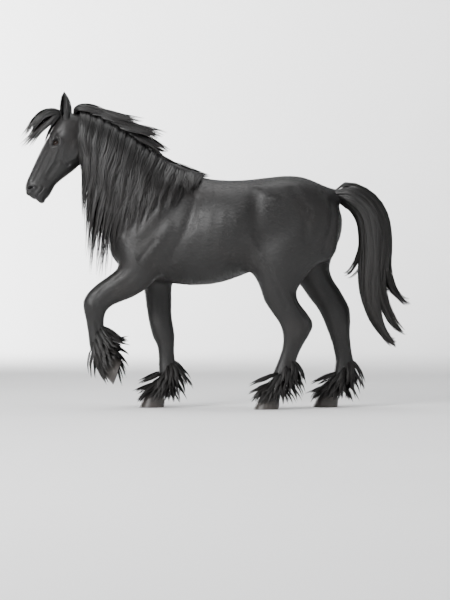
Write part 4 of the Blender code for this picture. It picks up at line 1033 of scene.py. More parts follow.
@dataclass
class Unwrap:
    """An unwrap of the skin: each part of the body is a tube, cut along its underside and laid flat.

    A chart is the tube's start and end, the way that its middle faces, and its cell on the map.
    """

    charts: tuple = (
        ((-1.06, 0.0, 1.96), (-1.26, 0.0, 1.48), (-0.88, 0.0, 0.47)),
        ((-0.97, 0.0, 1.90), (-0.36, 0.0, 1.34), (0.68, 0.0, 0.73)),
        ((-0.72, 0.0, 1.25), (0.88, 0.0, 1.30), (0.0, 0.0, 1.0)),
        ((0.85, 0.0, 1.48), (1.20, 0.0, 0.50), (0.94, 0.0, 0.34)),
        ((-0.44, 0.14, 1.10), (-0.40, 0.10, 0.0), (-1.0, 0.0, 0.0)),
        ((-0.50, -0.15, 1.05), (-0.70, -0.13, 0.25), (-0.97, 0.0, -0.24)),
        ((0.50, -0.17, 1.15), (0.42, -0.15, 0.0), (-1.0, 0.0, 0.0)),
        ((0.64, 0.17, 1.15), (0.82, 0.15, 0.0), (-1.0, 0.0, 0.0)),
    )

    def place(self, points: Array) -> Array:
        """Where each point lies on the map.

        A point goes to the chart whose axis is nearest. Its place along the axis is one coordinate, and
        its turn about it the other.

        Args:
            points: Points by 3.

        Returns:
            Points by 2, from 0 to 1.
        """
        points = points - SHIFT
        far, found = [], []
        for k, (start, end, up) in enumerate(self.charts):
            start, run, up = np.array(start), np.array(end) - np.array(start), unit(np.array(up))
            along = np.clip((points - start) @ run / (run @ run), -0.1, 1.1)
            away = points - start - along[:, None] * run
            side = unit(np.cross(run, up))
            turn = np.arctan2(away @ side, away @ up) / (2 * math.pi) + 0.5
            cell = np.array([k % 4, k // 4]) * np.array([0.25, 0.5])
            found.append(cell + np.stack([(along + 0.1) / 1.2 * 0.235, turn * 0.48], 1) + 0.005)
            far.append(np.linalg.norm(away, axis=1))
        nearest = np.argmin(far, axis=0)
        return np.array(found)[nearest, np.arange(len(points))]


@dataclass
class Strands:
    """Strands of hair for one piece, as lines with the ways out of the flesh and their widths."""

    name: str
    finish: LongHair
    lines: list = field(default_factory=list)
    outs: list = field(default_factory=list)
    widths: list = field(default_factory=list)

    def add(self, lines: Array, outs: Array, width: Array) -> None:
        """Keeps strands: strands by points by 3, their ways out, and a width for each."""
        self.lines.append(lines)
        self.outs.append(outs)
        self.widths.append(width)

    def build(self, draw: Draw, slot: str) -> Piece:
        """Makes one mesh of tapered three-sided strands.

        Round each point of a line stand three corners: two at the sides and one on the ridge. They narrow
        to a tip. Each strand is one small patch of the map at its root's place. Light falls on it as on
        the lock or coat that it lies in: its own roundness only tilts the way out by half.

        Args:
            draw: The source of each strand's tone.
            slot: Not used.

        Returns:
            The piece.
        """
        blocks, ways, tris, spots, tones, start = [], [], [], [], [], 0
        for lines, outs, width in zip(self.lines, self.outs, self.widths):
            count, steps, _ = lines.shape
            ahead = unit(np.gradient(lines, axis=1))
            side = unit(np.cross(ahead, outs))
            out = unit(np.cross(side, ahead))
            share = np.linspace(0, 1, steps)[None, :, None]
            half = width[:, None, None] / 2 * (0.55 + 1.6 * share).clip(0, 1) * (1 - share**3) ** 0.9
            base, over = lines - out * half * 0.3, lines + out * half * 0.55
            corners = np.stack([base + side * half, over, base - side * half], 2)
            body = corners[:, :-1].reshape(count, -1, 3)
            points = np.concatenate([body, lines[:, -1:]], 1)
            ring = grid_faces(steps - 1, 3)
            tri = np.vstack([ring[:, [0, 1, 2]], ring[:, [0, 2, 3]]])
            last = 3 * (steps - 2)
            ends = [[last, last + 1, last + 3], [last + 1, last + 2, last + 3], [last + 2, last, last + 3]]
            tri = np.vstack([tri, ends, [[2, 1, 0]]])[:, ::-1]
            each = 3 * (steps - 1) + 1
            tris.append((tri[None] + np.arange(count)[:, None, None] * each + start).reshape(-1, 3))
            start += count * each
            blocks.append(points.reshape(-1, 3))
            soft = np.array([0.5, 0.0, -0.5])[:, None]
            face = out[:, :-1, None] + side[:, :-1, None] * soft
            ways.append(unit(np.concatenate([face.reshape(count, -1, 3), out[:, -1:]], 1)).reshape(-1, 3))
            row = np.append(np.repeat(np.arange(steps - 1), 3), steps - 1) / (steps - 1)
            column = np.append(np.tile(np.arange(3), steps - 1), 1) / 2
            patch = np.stack([column, row], 1)[None] * 0.003
            spots.append((UNWRAP.place(lines[:, 0])[:, None] + patch).reshape(-1, 2))
            tone = draw.uniform(0, 0.45, count)[:, None] + 0.55 * row[None] ** 2
            tones.append(tone.ravel())
        points, faces = np.vstack(blocks), np.vstack(tris)
        mesh = bpy.data.meshes.new(self.name)
        mesh.vertices.add(len(points))
        mesh.vertices.foreach_set("co", points.astype(np.float32).ravel())
        mesh.loops.add(faces.size)
        mesh.loops.foreach_set("vertex_index", faces.astype(np.int32).ravel())
        mesh.polygons.add(len(faces))
        mesh.polygons.foreach_set("loop_start", np.arange(len(faces), dtype=np.int32) * 3)
        mesh.update(calc_edges=True)
        mesh.shade_smooth()
        mesh.normals_split_custom_set_from_vertices(np.vstack(ways).astype(np.float32))
        lay_map(mesh, "OFBake", np.vstack(spots))
        shade = mesh.attributes.new("shade", "FLOAT", "POINT")
        shade.data.foreach_set("value", np.concatenate(tones).astype(np.float32))
        mesh.materials.append(self.finish.material())
        piece = put(self.name, mesh)
        log.info("%s: %d triangles", self.name, len(faces))
        return piece


UNWRAP = Unwrap()


@dataclass(frozen=True)
class LockShape:
    """One kind of lock.

    Attributes:
        count: How many strands it has.
        wide: Half its width.
        deep: Half its thickness.
        width: One strand's width.
        wave: How far it waves from side to side.
        curl: The length of one wave.
        point: The power with which it narrows to its tip.
        least: How far every strand stays off the skin.
    """

    count: int
    wide: float
    deep: float
    width: float
    wave: float
    curl: float
    point: float
    least: float = 0.002


@dataclass
class Locks:
    """Makes locks of many strands from guides, each lock drawn in to its own tip."""

    flesh: Flesh
    draw: Draw
    steps: int = 13
    # The share of the lock at which its strands end, at least and at most.
    ends: tuple[float, float] = (0.76, 1.03)

    def bent(self, root: Array, middle: Array, tip: Array) -> Array:
        """Guides on one bend: a quadratic curve from each root past its middle point to its tip."""
        t = np.linspace(0, 1, self.steps)[None, :, None]
        return root[:, None] * (1 - t) ** 2 + middle[:, None] * 2 * t * (1 - t) + tip[:, None] * t**2

    def laid(self, guides: Array, lift: Array) -> Array:
        """The guides pushed off the skin by their lift and smoothed along their length."""
        for _ in range(3):
            over = self.flesh.moved(guides, 0.006, "OUTSIDE")
            spots = self.flesh.moved(guides, 0.0, "ON_SURFACE")
            gap = np.linalg.norm(over - spots, axis=2, keepdims=True)
            out = unit(over - spots)
            need = np.maximum(lift[:, None, None], 0.006)
            guides = over + out * np.maximum(0, need - gap)
            middle = (guides[:, :-2] + guides[:, 2:]) / 2
            guides[:, 1:-1] = guides[:, 1:-1] * 0.5 + middle * 0.5
        return guides

    def grow(
        self, hair: Strands, bend: tuple, lift: Any, shape: LockShape, facing: Array | None = None
    ) -> None:
        """Grows locks on the skin.

        Args:
            hair: What keeps their strands.
            bend: The roots, the points that the locks bend past, and the tips.
            lift: How far off the skin they lie, for all or for each.
            shape: The kind of lock.
            facing: The way their flats face, where it isn't the way out of the skin.
        """
        guides = self.bent(*(points + SHIFT for points in bend))
        guides = self.laid(guides, np.broadcast_to(lift, len(guides)))
        hair.add(*self.strands(guides, shape, facing))

    def strands(self, guides: Array, shape: LockShape, facing: Array | None = None) -> tuple:
        """Strands round each guide.

        A strand keeps its own place in its lock's oval section. The section is widest a quarter of the way
        down and shrinks to the tip as one minus the share to a power. The whole lock waves from side to
        side along its length.

        Args:
            guides: Guides by points by 3.
            shape: The kind of lock.
            facing: The way the locks' flats face, where it isn't the way out of the skin.

        Returns:
            The lines, the ways out and the widths.
        """
        locks, steps, _ = guides.shape
        draw, count = self.draw, shape.count
        outs = self.flesh.way_out(guides)
        if facing is not None:
            outs = np.broadcast_to(facing, guides.shape)
        ahead = unit(np.gradient(guides, axis=1))
        side = unit(np.cross(ahead, outs))
        out = unit(np.cross(side, ahead))
        turn = draw.uniform(0, 2 * math.pi, (locks, count))
        far = np.sqrt(draw.uniform(0.02, 1, (locks, count)))
        a, b = far * np.cos(turn) * shape.wide, far * np.sin(turn) * shape.deep
        ends = draw.uniform(*self.ends, (locks, count))
        share = np.linspace(0, 1, steps)[None, None] * ends[..., None]
        at = share * (steps - 1)
        low = np.minimum(at.astype(int), steps - 2)
        part = (at - low)[..., None]
        pick = np.arange(locks)[:, None, None]

        def along(vectors: Array) -> Array:
            """A guide's vectors read at each strand's own shares."""
            return vectors[pick, low] * (1 - part) + vectors[pick, low + 1] * part

        spread = (0.45 + 2.2 * share).clip(0, 1) * (1 - share.clip(0, 1) ** shape.point * 0.94)
        length = np.linalg.norm(np.diff(guides, axis=1), axis=2).sum(1)[:, None, None]
        phase = draw.uniform(0, 2 * math.pi, (locks, 1, 1)) + draw.normal(0, 0.5, (locks, count, 1))
        swing = np.sin(share * length / shape.curl * 2 * math.pi + phase) * share.clip(0, 0.5) * 2
        stray = draw.normal(0, 0.10, (locks, count, 1)) * shape.wide * share**2
        lines = along(guides)
        lines = lines + along(side) * (a[..., None] * spread + swing * shape.wave + stray)[..., None]
        lines = lines + along(out) * (b[..., None] * spread)[..., None]
        lines = lines.reshape(-1, steps, 3)
        root = lines[:, 0].copy()
        lines = self.flesh.moved(lines, shape.least, "OUTSIDE")
        lines[:, 0] = self.flesh.moved(root, -0.003, "ON_SURFACE")
        ways = along(out) + along(side) * (a / shape.wide * 0.8)[..., None, None]
        return lines, unit(ways.reshape(-1, steps, 3)), shape.width * draw.uniform(0.7, 1.25, len(lines))


@dataclass
class Mane:
    """The mane: it hangs to both sides of the crest, more to the near, and its top is blown back in locks."""

    # Along the crest from the poll: the share, and where the longest locks rooted there end, x z.
    tips: tuple = (
        (0.03, -0.870, 1.440), (0.10, -0.925, 1.290), (0.19, -0.890, 1.070), (0.28, -0.872, 0.955),
        (0.38, -0.800, 0.925), (0.48, -0.690, 1.020), (0.60, -0.560, 1.150), (0.72, -0.430, 1.260),
        (0.86, -0.270, 1.370), (0.98, -0.150, 1.470),
    )
    # Layers: locks, share of the full length, lift off the skin, the roots' y, and the tips' y.
    near: tuple = (
        (28, 1.0, 0.008, 0.026, 0.15), (28, 0.92, 0.018, 0.014, 0.15), (26, 0.72, 0.028, 0.002, 0.15),
    )
    far: tuple = ((20, 0.72, 0.008, 0.026, 0.15), (18, 0.56, 0.018, 0.010, 0.15))
    # The longest locks, from the front of the crest, that hang before the chest: share and tip, x z.
    chest: tuple = (
        (0.04, -0.930, 1.305), (0.07, -0.905, 1.200), (0.10, -0.890, 1.070), (0.14, -0.870, 0.990),
        (0.18, -0.862, 0.940), (0.22, -0.820, 0.925), (0.27, -0.795, 0.900), (0.32, -0.755, 0.930),
    )
    # Blown locks: where they start along the crest, what they bend past, their tips, and how many.
    blown: tuple = (
        (-0.05, (-0.960, 2.155), (-0.640, 2.030), 6), (0.03, (-0.800, 2.088), (-0.492, 2.002), 7),
        (0.10, (-0.740, 2.048), (-0.505, 1.986), 5), (0.17, (-0.610, 1.990), (-0.335, 1.904), 7),
        (0.26, (-0.560, 1.965), (-0.365, 1.893), 6), (0.35, (-0.490, 1.888), (-0.305, 1.788), 7),
        (0.45, (-0.430, 1.820), (-0.330, 1.770), 5), (0.56, (-0.340, 1.715), (-0.190, 1.650), 6),
        (0.68, (-0.230, 1.652), (-0.025, 1.616), 7), (0.80, (-0.160, 1.630), (-0.040, 1.604), 5),
    )
    near_lock: LockShape = LockShape(26, 0.038, 0.011, 0.0058, 0.010, 0.36, 3.4)
    far_lock: LockShape = LockShape(28, 0.038, 0.011, 0.0058, 0.010, 0.36, 3.4)
    near_chest_lock: LockShape = LockShape(36, 0.034, 0.016, 0.0060, 0.010, 0.40, 4.0)
    far_chest_lock: LockShape = LockShape(22, 0.034, 0.016, 0.0060, 0.010, 0.40, 4.0)
    crest_lock: LockShape = LockShape(30, 0.026, 0.011, 0.0056, 0.006, 0.30, 1.7, 0.003)

    def crest(self, share: Array, y: Array) -> Array:
        """Points of the crest: 0 at the poll, 1 at the withers."""
        line = STATIONS.metres(STATIONS.neck)[::-1, :2]
        walked = np.append(0, np.cumsum(np.hypot(*np.diff(line, axis=0).T)))
        at = np.asarray(share) * walked[-1]
        x, z = np.interp(at, walked, line[:, 0]), np.interp(at, walked, line[:, 1])
        return np.stack([x, np.broadcast_to(y, x.shape), z], -1)

    def hanging(self, locks: Locks, side: Side, strands: Strands) -> None:
        """Grows the layers that hang on one side."""
        near = side is Side.NEAR
        layers, shape = (self.near, self.near_lock) if near else (self.far, self.far_lock)
        shares, xs, zs = np.array(self.tips).T
        for number, part, lift, root_y, tip_y in layers:
            share = (np.arange(number) + locks.draw.uniform(0.2, 0.8, number)) / number
            share = shares[0] + (shares[-1] - shares[0]) * share**1.15
            start = self.crest(share, root_y * side.value)
            read = share + locks.draw.uniform(-0.03, 0.03, number)
            end = np.stack([np.interp(read, shares, xs), start[:, 1], np.interp(read, shares, zs)], 1)
            end = start + (end - start) * (part * locks.draw.uniform(0.86, 1.05, number))[:, None]
            end[:, 1] = (tip_y + 0.02 * locks.draw.uniform(-1, 1, number)) * side.value
            end[:, 0] += 0.05 * smooth(0.80, 0.98, share) * locks.draw.uniform(-1, 1, number)
            long = np.linalg.norm(end - start, axis=1)[:, None]
            middle = start + (end - start) * 0.40 + np.array([0.04, 0.11 * side.value, 0.055]) * long
            lifts = lift + 0.010 * locks.draw.uniform(0, 1, number)
            locks.grow(strands, (start, middle, end), lifts, shape)

    def before_chest(self, locks: Locks, side: Side, strands: Strands) -> None:
        """Grows the locks that hang before the chest, clear of the throat."""
        rows = np.repeat(np.array(self.chest), 2, axis=0)
        number = len(rows)
        start = self.crest(rows[:, 0] + locks.draw.uniform(-0.02, 0.02, number), 0.030 * side.value)
        y = locks.draw.uniform(0.045, 0.115, number) * side.value
        end = np.stack([rows[:, 1] + locks.draw.uniform(-0.01, 0.03, number), y, rows[:, 2]], 1)
        middle = (start + end) / 2 + np.array([0.03, 0.09 * side.value, 0.10])
        shape = self.near_chest_lock if side is Side.NEAR else self.far_chest_lock
        locks.grow(strands, (start, middle, end), 0.014, shape)

    def build(self, locks: Locks) -> list[Piece]:
        """Makes the mane's pieces.

        Args:
            locks: The maker of locks.

        Returns:
            The near side, the far side and the blown crest.
        """
        hair = [Strands("mane_" + name, MANE_HAIR) for name in ("near", "far", "crest")]
        for side, strands in zip(Side, hair):
            self.hanging(locks, side, strands)
            self.before_chest(locks, side, strands)
        for share, (bend_x, bend_z), (x, z), number in self.blown:
            k = np.arange(number)
            y = 0.036 * (2 * k / (number - 1) - 1)
            back = np.abs(2 * k / (number - 1) - 1)
            start = self.crest(share + 0.05 * back + locks.draw.uniform(-0.02, 0.02, number), y * 0.6)
            tip = np.stack([x - 0.06 * back, y * 1.5, z - 0.035 * back], 1)
            middle = np.stack([bend_x - 0.02 * back, y * 1.4, bend_z - 0.02 * back], 1)
            facing = np.stack([0 * y, np.where(y < 0, -1, 1), 0.5 + 0 * y], 1)[:, None]
            locks.grow(hair[2], (start, middle, tip), 0.012, self.crest_lock, facing)
        return [strands.build(locks.draw, "long_hair") for strands in hair]


@dataclass
class Forelock:
    """The forelock: two bundles blown ahead of the brow, and hair that lies on the forehead."""

    bundles: tuple = (
        (9, (-1.215, 2.125), (-1.350, 1.888)), (9, (-1.160, 2.030), (-1.360, 1.812)),
        (6, (-1.200, 2.080), (-1.325, 1.920)),
    )
    forehead: int = 9
    blown_lock: LockShape = LockShape(26, 0.020, 0.010, 0.0048, 0.004, 0.25, 1.8)
    brow_lock: LockShape = LockShape(24, 0.014, 0.006, 0.0042, 0.003, 0.15, 2.4)

    def build(self, locks: Locks) -> Piece:
        """Makes the forelock's piece."""
        hair = Strands("forelock", MANE_HAIR)
        root = HEAD_AXES.at(0.012, -0.004)
        for number, middle, tip in self.bundles:
            k = np.arange(number)
            off = 2 * k / (number - 1) - 1
            y, back = 0.036 * off, np.abs(off) / 2
            start = np.stack([root[0] + 0 * y, y * 0.6, root[2] + 0 * y], 1)
            bend = np.stack([middle[0] + 0.05 * back, y * 1.3, middle[1] - 0.03 * back], 1)
            fall = locks.draw.uniform(-0.03, 0.015, number)
            end = np.stack([tip[0] + 0.12 * back, y * 1.2, tip[1] + fall], 1)
            facing = np.stack([0 * y, np.where(y < 0, -1, 1), 0.4 + 0 * y], 1)[:, None]
            locks.grow(hair, (start, bend, end), 0.008, self.blown_lock, facing)
        off = 2 * np.arange(self.forehead) / (self.forehead - 1) - 1
        start = HEAD_AXES.at(0.018 + 0.01 * np.abs(off), 0.0, 0.030 * off)
        long = 0.15 + 0.10 * locks.draw.uniform(size=self.forehead)
        end = HEAD_AXES.at(0.03 + long, -0.010, 0.062 * off)
        middle = (start + end) / 2 - HEAD_AXES.back * 0.03
        locks.grow(hair, (start, middle, end), 0.006, self.brow_lock)
        return hair.build(locks.draw, "long_hair")


@dataclass
class Tail:
    """The tail: a full fall of hair round the dock that parts into pointed bundles."""

    # Its middle in side view, x z, and its half widths in its own plane and across it.
    line: tuple = (
        (0.800, 1.478, 0.056, 0.046), (0.850, 1.480, 0.074, 0.054), (0.900, 1.480, 0.084, 0.064),
        (0.975, 1.454, 0.088, 0.075), (1.040, 1.396, 0.096, 0.085), (1.083, 1.320, 0.102, 0.092),
        (1.102, 1.233, 0.106, 0.096), (1.107, 1.122, 0.108, 0.098), (1.100, 1.011, 0.110, 0.094),
        (1.096, 0.890, 0.108, 0.086), (1.100, 0.769, 0.100, 0.076), (1.108, 0.665, 0.102, 0.062),
        (1.138, 0.554, 0.090, 0.048), (1.235, 0.446, 0.020, 0.014),
    )
    # Bundles: up to which turn from the rear edge (1 is the front), how far down, and the tip, x z.
    bundles: tuple = (
        (0.24, 0.77, (1.350, 0.716)), (0.42, 0.91, (1.318, 0.516)), (0.90, 1.00, (1.250, 0.434)),
        (1.01, 0.62, (0.930, 0.890)),
    )
    # Shells of locks from the outside in: locks, share of the half widths, first root.
    shells: tuple = ((34, 1.00, 0.02), (24, 0.80, 0.05), (16, 0.55, 0.10))
    outer_lock: LockShape = LockShape(42, 0.026, 0.014, 0.0064, 0.009, 0.45, 2.6)
    inner_lock: LockShape = LockShape(32, 0.026, 0.014, 0.0064, 0.009, 0.45, 2.6)

    def at(self, share: Array, turn: Array, part: Array) -> tuple[Array, Array]:
        """Points of the tail and the ways out there.

        The section is an ellipse square to the middle line: its rear edge at turn 0, its sides at a
        quarter turn.
        """
        line = flowing(self.line, 6)
        walked = np.append(0, np.cumsum(np.hypot(*np.diff(line[:, :2], axis=0).T)))
        walked = walked / walked[-1]
        x, z, deep, wide = (np.interp(share, walked, line[:, k]) for k in range(4))
        slope = np.gradient(line[:, :2], axis=0)
        run = unit(np.stack([np.interp(share, walked, slope[:, k]) for k in range(2)], -1))
        back = np.cos(turn) * deep
        out = np.stack([-run[..., 1] * back, np.sin(turn) * wide, run[..., 0] * back], -1)
        return np.stack([x, 0 * x, z], -1) + out * part[..., None], unit(out)

    def build(self, locks: Locks) -> list[Piece]:
        """Makes the tail's outer and inner pieces."""
        steps, draw = 19, locks.draw
        made = []
        for name, shells, shape in (
            ("tail_outer", self.shells[:1], self.outer_lock),
            ("tail_inner", self.shells[1:], self.inner_lock),
        ):
            hair = Strands(name, TAIL_HAIR)
            for number, part, first in shells:
                turn = 2 * math.pi * (np.arange(number) + draw.uniform(0.2, 0.8, number)) / number
                off = np.abs((turn + math.pi) % (2 * math.pi) - math.pi) / math.pi
                rows = [next(row for row in self.bundles if share < row[0]) for share in off]
                end = np.array([row[1] for row in rows])
                tips = np.array([[row[2][0], 0.0, row[2][1]] for row in rows])
                tips[:, 0] += draw.uniform(-0.045, 0.005, number)
                tips[:, 1] += 0.035 * np.sin(turn) + draw.uniform(-0.012, 0.012, number)
                tips[:, 2] += draw.uniform(-0.01, 0.05, number)
                begin = first + draw.uniform(0, 0.07, number)
                share = begin[:, None] + (end - begin)[:, None] * np.linspace(0, 1, steps)[None]
                shrink = part * (0.75 + 0.25 * smooth(0, 0.06, share - begin[:, None]))
                lines, facing = self.at(share, np.broadcast_to(turn[:, None], share.shape), shrink)
                pull = smooth(0.66, 1.0, np.linspace(0, 1, steps))[None, :, None] ** 1.2
                lines = lines * (1 - pull) + tips[:, None] * pull + SHIFT
                hair.add(*locks.strands(lines, shape, facing))
            made.append(hair.build(draw, "long_hair"))
        return made


@dataclass
class Feather:
    """The feather of one leg: long hair from behind the knee or hock down over the hoof."""

    limb: Limb
    # How far out the tips stand round the leg, from its front (0) to its back (1).
    reach: tuple = ((0.0, 0.148), (0.25, 0.140), (0.5, 0.125), (0.75, 0.175), (1.0, 0.245))
    # Rows: locks, how far up the leg they root, the half turn they cover from the back, reach, drop.
    rows: tuple = (
        (7, 0.360, 0.38, 0.78, 0.140), (10, 0.325, 0.52, 0.92, 0.150), (12, 0.287, 0.64, 1.03, 0.152),
        (14, 0.245, 0.78, 0.96, 0.150), (17, 0.205, 0.90, 1.00, 0.150), (20, 0.165, 0.99, 0.84, 0.118),
    )
    # Rows that fan out over the front of the hoof: locks, how far up, half turn, reach, drop.
    fan: tuple = ((5, 0.270, 0.30, 0.205, 0.085), (7, 0.200, 0.38, 0.178, 0.085))
    # On the raised foot, four locks each hang from the back of the fetlock: how far up, and the tip, x z.
    fall: tuple = (
        (0.27, -0.582, 0.455), (0.24, -0.585, 0.380), (0.21, -0.590, 0.300), (0.18, -0.600, 0.228),
        (0.15, -0.625, 0.172),
    )
    fall_locks: int = 4
    lock: LockShape = LockShape(18, 0.021, 0.008, 0.0048, 0.004, 0.12, 1.9)

    def axis(self, walked: Array) -> Array:
        """The middle of the leg, that far along it from the sole."""
        rows = STATIONS.leg(self.limb)[::-1]
        middles = np.stack([(rows[:, 0] + rows[:, 2]) / 2, rows[:, 4], (rows[:, 1] + rows[:, 3]) / 2], 1)
        foot = FEET[self.limb]
        places = np.vstack([[foot.x, foot.y, foot.z], middles])
        far = np.append(0, np.cumsum(np.linalg.norm(np.diff(places, axis=0), axis=1)))
        return np.stack([np.interp(walked, far, places[:, k]) for k in range(3)], -1)

    def off(self, walked: Array, turn: Array) -> tuple[Array, Array]:
        """The leg's middle there, and the way out of it at a turn from its front.

        The front turns from where the toe points, at the hoof, to straight ahead at the fetlock.
        """
        above = np.clip((walked - 0.05) / 0.20, 0, 1)[:, None]
        front = unit(FEET[self.limb].ahead * (1 - above) + np.array([-1.0, 0, 0]) * above)
        return self.axis(walked), front * np.cos(turn)[:, None] + SIDEWAYS * np.sin(turn)[:, None]

    def grow(self, locks: Locks, hair: Strands, up: Array, turn: Array, tip: Array) -> None:
        """Grows one row's locks, from the leg's skin at a height and a turn to their tips."""
        number = len(up)
        middle, out = self.off(up, turn)
        start = locks.flesh.moved(middle + out * 0.07 + SHIFT, 0.0, "ON_SURFACE")
        tip = tip + SHIFT
        tip[:, 2] = np.maximum(tip[:, 2], 0.012 + locks.draw.uniform(0, 0.012, number))
        bend = (start + tip) / 2 + out * 0.032
        guides = locks.laid(locks.bent(start, bend, tip), np.full(number, 0.006))
        hair.add(*locks.strands(guides, self.lock))

    def build(self, locks: Locks) -> Piece:
        """Makes the leg's feather."""
        draw = locks.draw
        hair = Strands("feather_" + self.limb.value, FEATHER_HAIR)
        shares, outs = np.array(self.reach).T
        fan = self.fan[1:] if self.limb is Limb.FORE_NEAR else self.fan
        rows = [(*row, math.pi) for row in self.rows] + [(*row, 0.0) for row in fan]
        for number, walked, spread, reach, drop, centre in rows:
            up = walked + draw.uniform(-0.016, 0.016, number)
            turn = centre + math.pi * spread * (2 * (np.arange(number) + 0.5) / number - 1)
            turn = turn + draw.uniform(-0.10, 0.10, number)
            share = np.abs((turn + math.pi) % (2 * math.pi) - math.pi) / math.pi
            low, away = self.off(up - drop, turn)
            far = np.interp(share, shares, outs) * reach if centre else np.full(number, reach)
            tip = low + away * (far * draw.uniform(0.85, 1.04, number))[:, None]
            self.grow(locks, hair, up, turn, tip)
        if self.limb is Limb.FORE_NEAR:
            up, x, z = np.repeat(np.array(self.fall), self.fall_locks, axis=0).T
            turn = math.pi + draw.uniform(-0.8, 0.8, len(up))
            y = FEET[self.limb].y - np.sin(turn) * 0.07
            x = x - 0.03 * np.abs(np.sin(turn))
            z = z + draw.uniform(-0.02, 0.02, len(z))
            self.grow(locks, hair, up, turn, np.stack([x, y, z], 1))
        for lines in hair.lines:
            lines[..., 2] = np.maximum(lines[..., 2], 0.004)
        return hair.build(draw, "coat")


@dataclass
class ShortCoat:
    """Tufts of the short coat that break the form all over: they lie along the body and are thin."""

    tufts: int = 108000
    long: float = 0.026
    wide: float = 0.0034
    raised: float = 0.0024

    def lie(self, points: Array) -> tuple[Array, Array]:
        """The way the coat lies at each point, and how much each point is on head, neck and leg.

        Returns:
            The ways, and three shares from 0 to 1.
        """
        x, z = points[:, 0], points[:, 2]
        along, _ = HEAD_AXES.read(points)
        head = smooth(0.02, 0.12, along) * smooth(-0.86, -0.93, x) * smooth(1.35, 1.42, z)
        # How far each point is past the line where the neck meets the trunk.
        cut = (x + 0.51) * -0.744 + (z - 1.395) * 0.667
        neck = smooth(-0.12, 0.12, cut) * (1 - head)
        leg = smooth(1.12, 0.86, z) * (1 - neck) * (1 - head)
        front = smooth(-0.1, -0.5, x)
        ways = np.array([0.96, 0, -0.28]) * np.ones((len(points), 1))
        ways = ways * (1 - neck[:, None]) + np.array([0.79, 0, -0.61]) * neck[:, None]
        down = np.array([0.12, 0, -0.99]) * (1 - front[:, None]) + np.array([0.05, 0, -1.0]) * front[:, None]
        ways = ways * (1 - leg[:, None]) + down * leg[:, None]
        ways = ways * (1 - head[:, None]) + HEAD_AXES.down * head[:, None]
        return ways, np.stack([head, neck, leg], 1)

    def spread(self, skin: Piece, draw: Draw) -> tuple[Array, Array]:
        """Random spots on the skin: faces are drawn by their area, and spots within them.

        The small tufts of the head stand five times as close as those of the trunk, and the legs' twice.
        """
        mesh = skin.data
        mesh.calc_loop_triangles()
        tri = gathered(mesh.loop_triangles, "vertices", 3)
        points, normals = points_of(mesh), normals_of(mesh)
        corner = points[tri]
        area = np.linalg.norm(np.cross(corner[:, 1] - corner[:, 0], corner[:, 2] - corner[:, 0]), axis=1)
        _, shares = self.lie(corner.mean(1) - SHIFT)
        area = area * (1 + 4 * shares[:, 0] + shares[:, 2])
        pick = draw.choice(len(tri), self.tufts, p=area / area.sum())
        a, b = draw.uniform(size=(2, self.tufts, 1))
        a, b = np.where(a + b > 1, 1 - a, a), np.where(a + b > 1, 1 - b, b)
        weights = np.concatenate([1 - a - b, a, b], 1)[..., None]
        return (corner[pick] * weights).sum(1), unit((normals[tri[pick]] * weights).sum(1))

    def build(self, flesh: Flesh, draw: Draw) -> list[Piece]:
        """Makes the short coat of the head and neck, of the trunk and of the legs.

        A tuft is a straight wedge: wide where it leaves the skin, and pointed where it ends a little off
        it. Its length, width and rise shrink on the legs and most on the face.
        """
        spots, outs = self.spread(flesh.shape, draw)
        ways, shares = self.lie(spots - SHIFT)
        bare = Muzzle().bare(spots - SHIFT)
        along, deep = HEAD_AXES.read(spots - SHIFT)
        off_eye = np.hypot(along - HEAD_AXES.eye[0], deep - HEAD_AXES.eye[1]) > 0.040
        keep = (bare < 0.25) & (off_eye | (shares[:, 0] < 0.5)) & (spots[:, 2] > 0.10)
        spots, outs, ways, shares = spots[keep], outs[keep], ways[keep], shares[keep]
        ways = unit(ways - (ways * outs).sum(1, keepdims=True) * outs)
        ways = unit(ways + np.cross(ways, outs) * draw.normal(0, 0.12, (len(spots), 1)))
        fringe = self.fringe(spots - SHIFT, outs)
        size = 1 - 0.64 * shares[:, 0] - 0.30 * shares[:, 2]
        long = self.long * size * draw.uniform(0.7, 1.2, len(spots)) * (1 + 0.8 * fringe)
        rise = self.raised * size * draw.uniform(0.5, 1.2, len(spots)) * (1 + 3.0 * fringe)
        tips = spots + ways * long[:, None] + outs * rise[:, None]
        tips = flesh.moved(tips, 0.0012, "OUTSIDE")
        lines = np.stack([spots - outs * 0.0012, tips], 1)
        width = self.wide / 0.55 * size * draw.uniform(0.7, 1.3, len(spots))
        outs = unit(outs + draw.normal(0, 0.10, outs.shape))
        ahead = shares[:, 0] + shares[:, 1] > 0.5
        below = ~ahead & (shares[:, 2] > 0.5)
        made = []
        for name, own in (
            ("short_coat_head_and_neck", ahead),
            ("short_coat_legs", below),
            ("short_coat_trunk", ~ahead & ~below),
        ):
            hair = Strands(name, BODY_HAIR)
            hair.add(lines[own], np.repeat(outs[own, None], 2, 1), width[own])
            made.append(hair.build(draw, "coat"))
        return made

    def fringe(self, points: Array, outs: Array) -> Array:
        """Where the coat is longer: under the jaw and belly, at the elbow, flank and back of the thigh."""
        x, z = points[:, 0], points[:, 2]
        along, deep = HEAD_AXES.read(points)
        jaw = smooth(0.20, 0.25, deep) * smooth(0.05, 0.10, along) * smooth(1.45, 1.55, z)
        belly = smooth(-0.7, -0.95, outs[:, 2]) * smooth(0.8, 0.84, z) * smooth(1.1, 1.0, z)
        elbow = np.exp(-((np.hypot(x + 0.30, z - 0.95) / 0.07) ** 2))
        flank = np.exp(-((np.hypot(x - 0.25, z - 1.02) / 0.09) ** 2))
        thigh = smooth(0.6, 0.9, outs[:, 0]) * smooth(0.75, 0.85, z) * (x > 0.4) * smooth(1.1, 1.0, z)
        return np.clip(jaw + belly + elbow + flank + thigh * 0.4, 0, 1)


# Eyes, lids, ears and hooves


